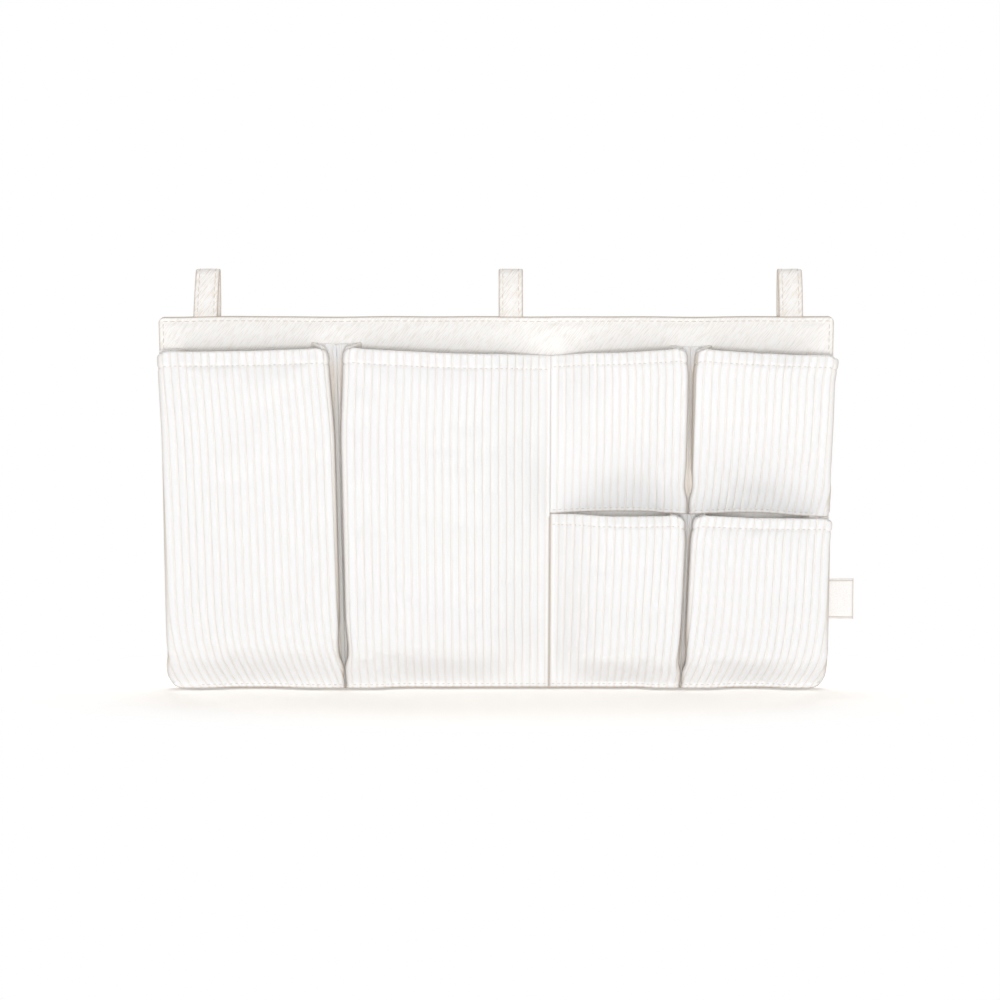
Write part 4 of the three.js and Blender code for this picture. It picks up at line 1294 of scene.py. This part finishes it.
def pocket_stitch_rows(pocket, outer, heights, height, on_front):
    """The stitches along a pocket's hem and along its foot."""
    visible = np.flatnonzero(on_front > 0.02)
    facing = grid_normals(outer)
    lines = []
    for level, wider in ((height - pocket["hem"], 16), (FOOT_STITCH, 2)):
        row = int(np.argmin(abs(heights - level)))
        picked = slice(max(2, visible[0] - wider), min(len(outer) - 2, visible[-1] + wider))
        lines.append((outer[picked, row], facing[picked, row]))
    return lines


def build_pocket(name, pocket, corduroy_cloth, pocket_thread, seed):
    points, columns, heights, from_groove, hem, on_front, height, from_folds = pocket_surface(pocket)
    sag_and_crease(pocket, points, columns, heights, height, on_front, seed)
    outer, inner = pocket_faces(pocket, points, columns, heights, height, from_groove, hem)
    marks = pocket_marks(pocket, heights, height, from_groove, from_folds, PANEL_TOP - outer[..., 2])
    flat_map = np.stack(np.meshgrid(columns, heights, indexing="ij"), axis=-1)
    obj = cloth(name + "_cloth", outer, inner, corduroy_cloth, flat_map, marks)
    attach(obj, BODY)
    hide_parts(name)
    lines = pocket_stitch_rows(pocket, outer, heights, height, on_front)
    thread = stitches(name + "_stitches", lines, pocket_thread, POCKET_STITCH)
    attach(thread, BODY)


# Straps and their hook-and-loop tapes


def strap_line():
    """The strap's middle line as (y, z), from its sewn foot over the crest to the end of its tail."""
    bend = CREST_RADIUS + STRAP_THICKNESS / 2
    third = (PANEL_TOP + CREST_RADIUS) / 3

    def half(side, base):
        start = np.array([side * (CREST_FLAT / 2 + bend), -CREST_RADIUS])
        controls = (
            start,
            start + (side * LOOP_BULGE, third),
            np.array([base + side * LOOP_BULGE, PANEL_TOP - third]),
            np.array([base, PANEL_TOP]),
        )
        t = np.linspace(0, 1, 24)[:, None]
        fall = sum(
            share * point
            for share, point in zip(
                ((1 - t) ** 3, 3 * t * (1 - t) ** 2, 3 * t * t * (1 - t), t**3), controls, strict=True
            )
        )
        centre = np.array([side * CREST_FLAT / 2, -CREST_RADIUS])
        angle = np.linspace(0, math.pi / 2, 12)[:-1]
        top = centre + bend * vectors(side * np.sin(angle), np.cos(angle))
        return np.concatenate([top, fall])

    front = half(-1, PANEL_Y)[::-1]
    back = half(1, TAIL_Y)
    foot = np.linspace((PANEL_Y, PANEL_TOP - STRAP_SEAM_DEPTH), (PANEL_Y, PANEL_TOP), 5)[:-1]
    tail = np.linspace((TAIL_Y, PANEL_TOP), (TAIL_Y, PANEL_TOP - TAIL_DROP), 26)[1:]
    return np.concatenate([foot, front, back, tail])


def line_frame(line):
    """How far along a plane line each of its points is, and the direction to its left there."""
    ahead = np.gradient(line, axis=0)
    ahead /= np.linalg.norm(ahead, axis=1, keepdims=True)
    return along_line(line), vectors(-ahead[:, 1], ahead[:, 0])


def strap_faces(name, x, lean, line, across):
    """The face of a strap inside its loop and the one outside it. The cloth is thinner at its edges and
    under its stitches, and its width and its lie vary a little."""
    reach, left = line_frame(line)
    past_half = abs(across) - STRAP_WIDTH / 2
    round_edge = np.sqrt(np.maximum(0, 1 - np.clip((past_half + 0.8) / 0.8, 0, 1) ** 2))
    sewn = 0.26 * bump(past_half + STRAP_STITCH_INSET, 0.7)
    profile = (STRAP_THICKNESS / 2 - sewn - 0.1 * (past_half > -2)) * round_edge
    end_round = np.sqrt(np.clip((reach[-1] - reach) / 0.9, 0.02, 1))
    seed = 100 + sum(map(ord, name))
    width_now = 1 + 0.008 * waves(reach, 0 * reach, 26, seed)
    bow = 0.18 * waves(reach[:, None], across[None, :] * 2, 24, seed + 1) * smooth(reach / 12)[:, None]
    lean_now = np.where(line[:, 0] < 0, lean * np.clip(line[:, 1] / PANEL_TOP, 0, 1), 0)
    middle_x = x + lean_now[:, None] + across[None, :] * width_now[:, None]

    def face(sign):
        through = sign * profile[None, :] * end_round[:, None] + bow
        y = line[:, 0, None] + left[:, 0, None] * through
        z = line[:, 1, None] + left[:, 1, None] * through
        return vectors(middle_x, y, z)

    return face(-1), face(1)


def strap_stitch_lines(x, line, reach, across, inside, outside):
    """Stitches along both edges of a strap, on both its faces. Two more rows lie inside its tail, where
    the hook tape is sewn on."""
    half = STRAP_WIDTH / 2 - STRAP_STITCH_INSET
    shown = (reach > STRAP_SEAM_DEPTH + 1.5) & (reach < reach[-1] - 2)
    lines = []
    for grid, way in ((inside, 1), (outside, -1)):
        normals = grid_normals(grid) * way
        for place in (-half, half):
            column = int(np.argmin(abs(across - place)))
            lines.append((grid[shown, column], normals[shown, column]))
    span = np.linspace(1 - half, half - 1, 12)
    first_row = HOOK_TAPE[0] - 1.5
    for z in (first_row, first_row - (HOOK_TAPE[1] - 3)):
        level = int(np.argmin(np.where(line[:, 0] < 0, np.inf, abs(line[:, 1] - z))))
        y = inside[level, :, 1].max()
        lines.append(facing_row(1.0, x + span, y, line[level, 1]))
    return lines


def build_strap(name, x, lean, looks):
    line = strap_line()
    reach = along_line(line)
    across = STRAP_WIDTH / 2 * np.array(STRAP_COLUMNS)
    across = np.concatenate([across, -across[-2::-1]])
    inside, outside = strap_faces(name, x, lean, line, across)
    flat_map = np.stack(np.meshgrid(reach, across, indexing="ij"), axis=-1)[..., ::-1]
    # Painted shade lines along the strap's edges
    ground = 1 - (EDGE_SHADE * bump(STRAP_WIDTH / 2 - abs(across), 0.6)[None, :] + 0 * reach[:, None])
    # Painted shade all over the face inside the loop
    marks = {"ground": (np.minimum(ground, LOOP_INSIDE_PAINTED_SHADE), ground)}
    obj = cloth(f"strap_{name}_cloth", inside, outside, looks["strap_twill"], flat_map, marks)
    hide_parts(f"strap_{name}", f"strap_tail_{name}")
    lines = strap_stitch_lines(x, line, reach, across, inside, outside)
    thread = stitches(f"strap_{name}_stitches", lines, looks["panel_thread"])
    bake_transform(obj)
    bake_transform(thread)
    build_tape("hook", name, x, *HOOK_TAPE, f"tail_{name}", f"strap_{name}_cloth", looks)
    build_tape("loop", name, x, *LOOP_TAPE, BODY, "panel_back_cloth", looks)


def tape_base(name, x, top, length, low, high, look):
    """A flat tape with rounded corners and soft edges, between two values of y."""
    half = STRAP_WIDTH / 2 - TAPE_INSET
    soft = TAPE_SOFTNESS
    middle = top - length / 2
    rings = []
    for inset, y in ((half, low), (soft, low), (0, low + soft), (0, high - soft), (soft, high), (half, high)):
        out = max(TAPE_CORNER - inset, 0.02)
        corner_x = max(half - max(TAPE_CORNER, inset), 0)
        corner_z = length / 2 - max(TAPE_CORNER, min(inset, length / 2 - 0.5))
        points = []
        for sx, sz, turn in ((1, 1, 0), (-1, 1, 1), (-1, -1, 2), (1, -1, 3)):
            for angle in np.linspace(0, math.pi / 2, 6) + turn * math.pi / 2:
                point_x = x + sx * corner_x + out * math.cos(angle)
                points.append((point_x, y, middle + sz * corner_z + out * math.sin(angle)))
        rings.append(points)
    rings = np.array(rings)
    count = rings.shape[1]
    ring = np.arange(count)
    faces = []
    for k in range(len(rings) - 1):
        a = k * count + ring
        b = k * count + np.roll(ring, -1)
        faces += vectors(a, a + count, b + count, b).tolist()
    faces.append(ring.tolist())
    faces.append(((len(rings) - 1) * count + ring[::-1]).tolist())
    return mesh_object(name, rings.reshape(-1, 3), faces, look)


def tape_fibres(kind, spots, draw):
    """The shape and ring radii of one hook or loop, and the place, heading and size of each. Hooks stand
    in rows that face each other, and loops lie in all directions."""
    if kind == "hook":
        headings = np.where(np.arange(len(spots)) % 2, 1.0, -1.0) * math.pi / 2
        return np.array(HOOK_SHAPE), np.array(HOOK_RADII), spots, headings, np.ones(len(spots))
    spots = spots + draw.uniform(-0.3, 0.3, spots.shape)
    headings = draw.uniform(0, math.tau, len(spots))
    return np.array(LOOP_SHAPE), np.array(LOOP_RADII), spots, headings, draw.uniform(0.75, 1, len(spots))


def tape_pile(kind, name, x, top, length, root, toward, look):
    """All hooks or loops of a tape. They stand up from root, the y of the tape's face."""
    half = STRAP_WIDTH / 2 - TAPE_INSET - PILE_INSET
    pitch = HOOK_PITCH if kind == "hook" else LOOP_PITCH
    xs = np.arange(-half, half + 0.01, pitch)
    zs = np.arange(top - length + 1, top - 0.9, pitch)
    spots = np.stack(np.meshgrid(xs, zs, indexing="ij"), axis=-1).reshape(-1, 2)
    draw = np.random.default_rng(40 + sum(map(ord, name)))
    shape, radii, spots, headings, sizes = tape_fibres(kind, spots, draw)
    sideways = shape[:, 0][None, :] * sizes[:, None]
    centres = vectors(
        x + spots[:, 0, None] + sideways * np.cos(headings)[:, None],
        root + toward * shape[:, 1][None, :] * sizes[:, None] * (TAPE_THICKNESS - TAPE_BASE),
        spots[:, 1, None] + sideways * np.sin(headings)[:, None],
    )
    side = vectors(-np.sin(headings), 0, np.cos(headings))
    normals = np.repeat(side[:, None], len(shape), axis=1)
    points, faces = tubes(centres, normals, radii, 5)
    return mesh_object(f"{kind}_tape_{name}_{kind}s", points, faces, look)


def tape_stitch_lines(x, top, length, face_y, toward):
    half, long_half = STRAP_WIDTH / 2 - TAPE_INSET - PILE_INSET - TAPE_STITCH_INSET, length / 2 - 1
    rim = [(-half, -long_half), (-half, long_half), (half, long_half), (half, -long_half)]
    share = np.linspace(0, 1, 12)
    lines = []
    for (x0, z0), (x1, z1) in zip(rim, rim[1:] + rim[:1], strict=True):
        z = top - length / 2 + lerp(z0, z1, share)
        lines.append(facing_row(toward, x + lerp(x0, x1, share), face_y, z))
    return lines


def build_tape(kind, name, x, top, length, low, body, carrier, looks):
    """A tape with its hooks or loops and its stitches. Hooks point forwards and loops backwards."""
    toward = -1 if kind == "hook" else 1
    high = low + TAPE_THICKNESS
    base = (high - TAPE_BASE, high) if toward < 0 else (low, low + TAPE_BASE)
    face_y = base[0] if toward < 0 else base[1]
    obj = tape_base(f"{kind}_tape_{name}_base", x, top, length, *base, looks["tape"])
    pile = tape_pile(kind, name, x, top, length, face_y - 0.05 * toward, toward, looks["tape"])
    lines = tape_stitch_lines(x, top, length, face_y, toward)
    sewn = stitches(f"{kind}_tape_{name}_stitches", lines, looks["panel_thread"])
    for piece in (obj, pile, sewn):
        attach(piece, body)
    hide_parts(f"{kind}_tape_{name}")


# Side label


def label_line(edge_x):
    """The label's middle line as (x, distance behind the panel's middle): out at the back, in again."""
    start = edge_x - LABEL_SEAM_DEPTH
    bend = (LABEL_LAYER + LABEL_FOLD_GAP) / 2
    fold = edge_x + LABEL_REACH - bend - LABEL_LAYER / 2
    run = np.linspace(0, 1, 22)[:-1]
    angle = np.linspace(math.pi / 2, -math.pi / 2, 13)
    out_x = lerp(start, fold, run)
    belly = 0.32 * np.sin(math.pi * np.clip((out_x - edge_x) / LABEL_REACH, 0, 1)) ** 2
    back = vectors(out_x, bend + belly)
    turn = vectors(fold + bend * np.cos(angle), bend * np.sin(angle))
    front = vectors(lerp(fold, start, run + 1 / 21), -bend - belly[::-1])
    return np.concatenate([back, turn, front])


def build_label(look):
    """A folded woven strip. Its face stays bare."""
    edge_x = panel_half_width(LABEL_DROP)
    line = label_line(edge_x)
    reach, left = line_frame(line)
    half = LABEL_HEIGHT / 2
    near = np.array(LABEL_ROWS) - half
    rows = np.concatenate([near, np.linspace(-half + 3.5, half - 3.5, 14), -near[::-1]])
    from_edge = half - abs(rows)
    thick = LABEL_LAYER / 2 * np.sqrt(np.clip(from_edge / 0.35, 0.05, 1))
    thick = thick - 0.07 * bump(from_edge - LABEL_STITCH, 0.3)
    outside = np.clip((line[:, 0] - edge_x) / LABEL_REACH, 0, 1)[:, None]
    flutter = 0.5 * outside**2 * np.sin(rows / half * 1.7 + 0.6)[None, :]
    lift = 0.25 * outside**1.5 * (rows / half)[None, :]

    def face(sign):
        """One side of the strip, with its columns in the order that turns its faces outwards."""
        x = line[:, 0, None] + sign * left[:, 0, None] * thick[None, :]
        y = PANEL_Y + line[:, 1, None] + sign * left[:, 1, None] * thick[None, :] + flutter
        z = PANEL_TOP - LABEL_DROP + rows[None, :] + lift
        return vectors(x, y, z)[:, ::-1]

    # Painted shade lines along the label's edges and stitched rows, and painted shade along its fold
    line_mark = 1 - 0.8 * bump(from_edge - LABEL_STITCH, 0.35) - 0.5 * bump(from_edge, 0.25)
    fold_mark = 1 - 0.75 * smooth((outside - 0.945) / 0.04)
    ground = np.minimum(line_mark[None, :], fold_mark)
    marks = {"ground": (ground, np.ones_like(ground))}
    flat_map = np.stack(np.meshgrid(reach, rows, indexing="ij"), axis=-1)
    obj = cloth("side_label_cloth", face(1), face(-1), look, flat_map, marks)
    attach(obj, BODY)
    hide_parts("side_label")


# Floor, light and camera


def seen_directly(tree):
    """1 for rays from the camera, and for those that a gloss or glass sends on."""
    path = node(tree, "LightPath").outputs
    first = combined(tree, "MAXIMUM", path["Is Camera Ray"], path["Is Glossy Ray"])
    return combined(tree, "MAXIMUM", first, path["Is Transmission Ray"])


def shader_node(tree, kind, *inputs):
    return node(tree, kind, dict(enumerate(inputs))).outputs[0]


def build_world():
    world = bpy.data.worlds.new("studio")
    world.use_nodes = True
    bpy.context.scene.world = world
    tree = world.node_tree
    lit = tree.nodes["Background"]
    lit.inputs["Color"].default_value = SKY
    lit.inputs["Strength"].default_value = WORLD_LIGHT
    white = shader_node(tree, "Background", WHITE, 1.0)
    surface = shader_node(tree, "MixShader", seen_directly(tree), lit.outputs[0], white)
    tree.links.new(surface, tree.nodes["World Output"].inputs["Surface"])


def floor_material():
    """White paper that fades to plain white away from the caddy, and glows a little."""
    look, tree, place = start_material("floor", "Object")
    tree.nodes.remove(tree.nodes["Principled BSDF"])
    shortened = node(tree, "Mapping", {"Vector": place, "Scale": (1.0, 2.2, 0.0)}).outputs[0]
    away = node(tree, "VectorMath", {0: shortened}, operation="LENGTH").outputs["Value"]
    fade = ranged(tree, away, FADE_START, FADE_END)
    paper = mixed(tree, ranged(tree, noise(tree, place, 0.004, 2), 0.3, 0.7), *PAPER)
    lit = shader_node(tree, "BsdfDiffuse", paper)
    near = shader_node(tree, "AddShader", lit, shader_node(tree, "Emission", PAPER_GLOW, FLOOR_GLOW))
    around = shader_node(tree, "AddShader", lit, shader_node(tree, "Emission", PAPER_GLOW, FLOOR_LIFT))
    white = shader_node(tree, "Emission", WHITE, 1.0)
    seen = shader_node(tree, "MixShader", fade, near, white)
    surface = shader_node(tree, "MixShader", seen_directly(tree), around, seen)
    tree.links.new(surface, tree.nodes["Material Output"].inputs["Surface"])
    return look


def build_floor():
    x = np.array([-FLOOR_HALF, FLOOR_HALF, FLOOR_HALF, -FLOOR_HALF])
    y = np.array([-FLOOR_HALF, -FLOOR_HALF, FLOOR_HALF, FLOOR_HALF])
    corners = vectors(x, y, FLOOR_Z - FLOOR_CLEARANCE)
    mesh_object("studio_floor", corners, [[0, 1, 2, 3]], floor_material())


def build_lamps():
    for name, (place, size, power) in LAMPS.items():
        light = bpy.data.lights.new(name, "AREA")
        light.shape = "RECTANGLE"
        light.energy = power
        light.color = LAMP_COLOUR
        light.size, light.size_y = size
        lamp = bpy.data.objects.new(name, light)
        lamp.location = place
        lamp.rotation_euler = (Vector(LAMP_TARGET) - lamp.location).to_track_quat("-Z", "Y").to_euler()
        bpy.context.scene.collection.objects.link(lamp)


def build_camera():
    camera = bpy.data.cameras.new("camera")
    camera.sensor_width = SENSOR_WIDTH
    camera.lens = SENSOR_WIDTH * CAMERA_DISTANCE / (VIEW_WIDTH * MM)
    camera.clip_start = 0.05
    obj = bpy.data.objects.new("camera", camera)
    tilt = math.radians(CAMERA_ELEVATION)
    back = Vector((0, -math.cos(tilt), math.sin(tilt)))
    obj.location = Vector(CAMERA_TARGET) * MM + back * CAMERA_DISTANCE
    obj.rotation_euler = (-back).to_track_quat("-Z", "Y").to_euler()
    bpy.context.scene.collection.objects.link(obj)
    bpy.context.scene.camera = obj


# Assembly

looks = {
    "corduroy": corduroy(),
    "twill": twill("cream_twill", TWILL, 0.5),
    # The straps' twill is darker and shows all its strokes: painted shade
    "strap_twill": twill("cream_twill_straps", STRAP_TWILL_PAINTED_SHADE, 1.0),
    "panel_thread": thread_look("panel_thread", PANEL_THREAD),
    "pocket_thread": thread_look("pocket_thread", POCKET_THREAD),
    "label": label_look(),
    "tape": tape_look(),
    "wadding": wadding_look(),
}
bpy.context.scene.view_settings.view_transform = "Standard"
build_camera()
build_world()
build_floor()
build_lamps()
build_panel(looks["twill"], looks["panel_thread"], looks["wadding"])
for number, (pocket_name, sizes) in enumerate(POCKETS.items()):
    build_pocket(pocket_name, sizes, looks["corduroy"], looks["pocket_thread"], 200 + number)
for strap_name, (strap_x, strap_lean) in STRAPS.items():
    build_strap(strap_name, strap_x, strap_lean, looks)
build_label(looks["label"])
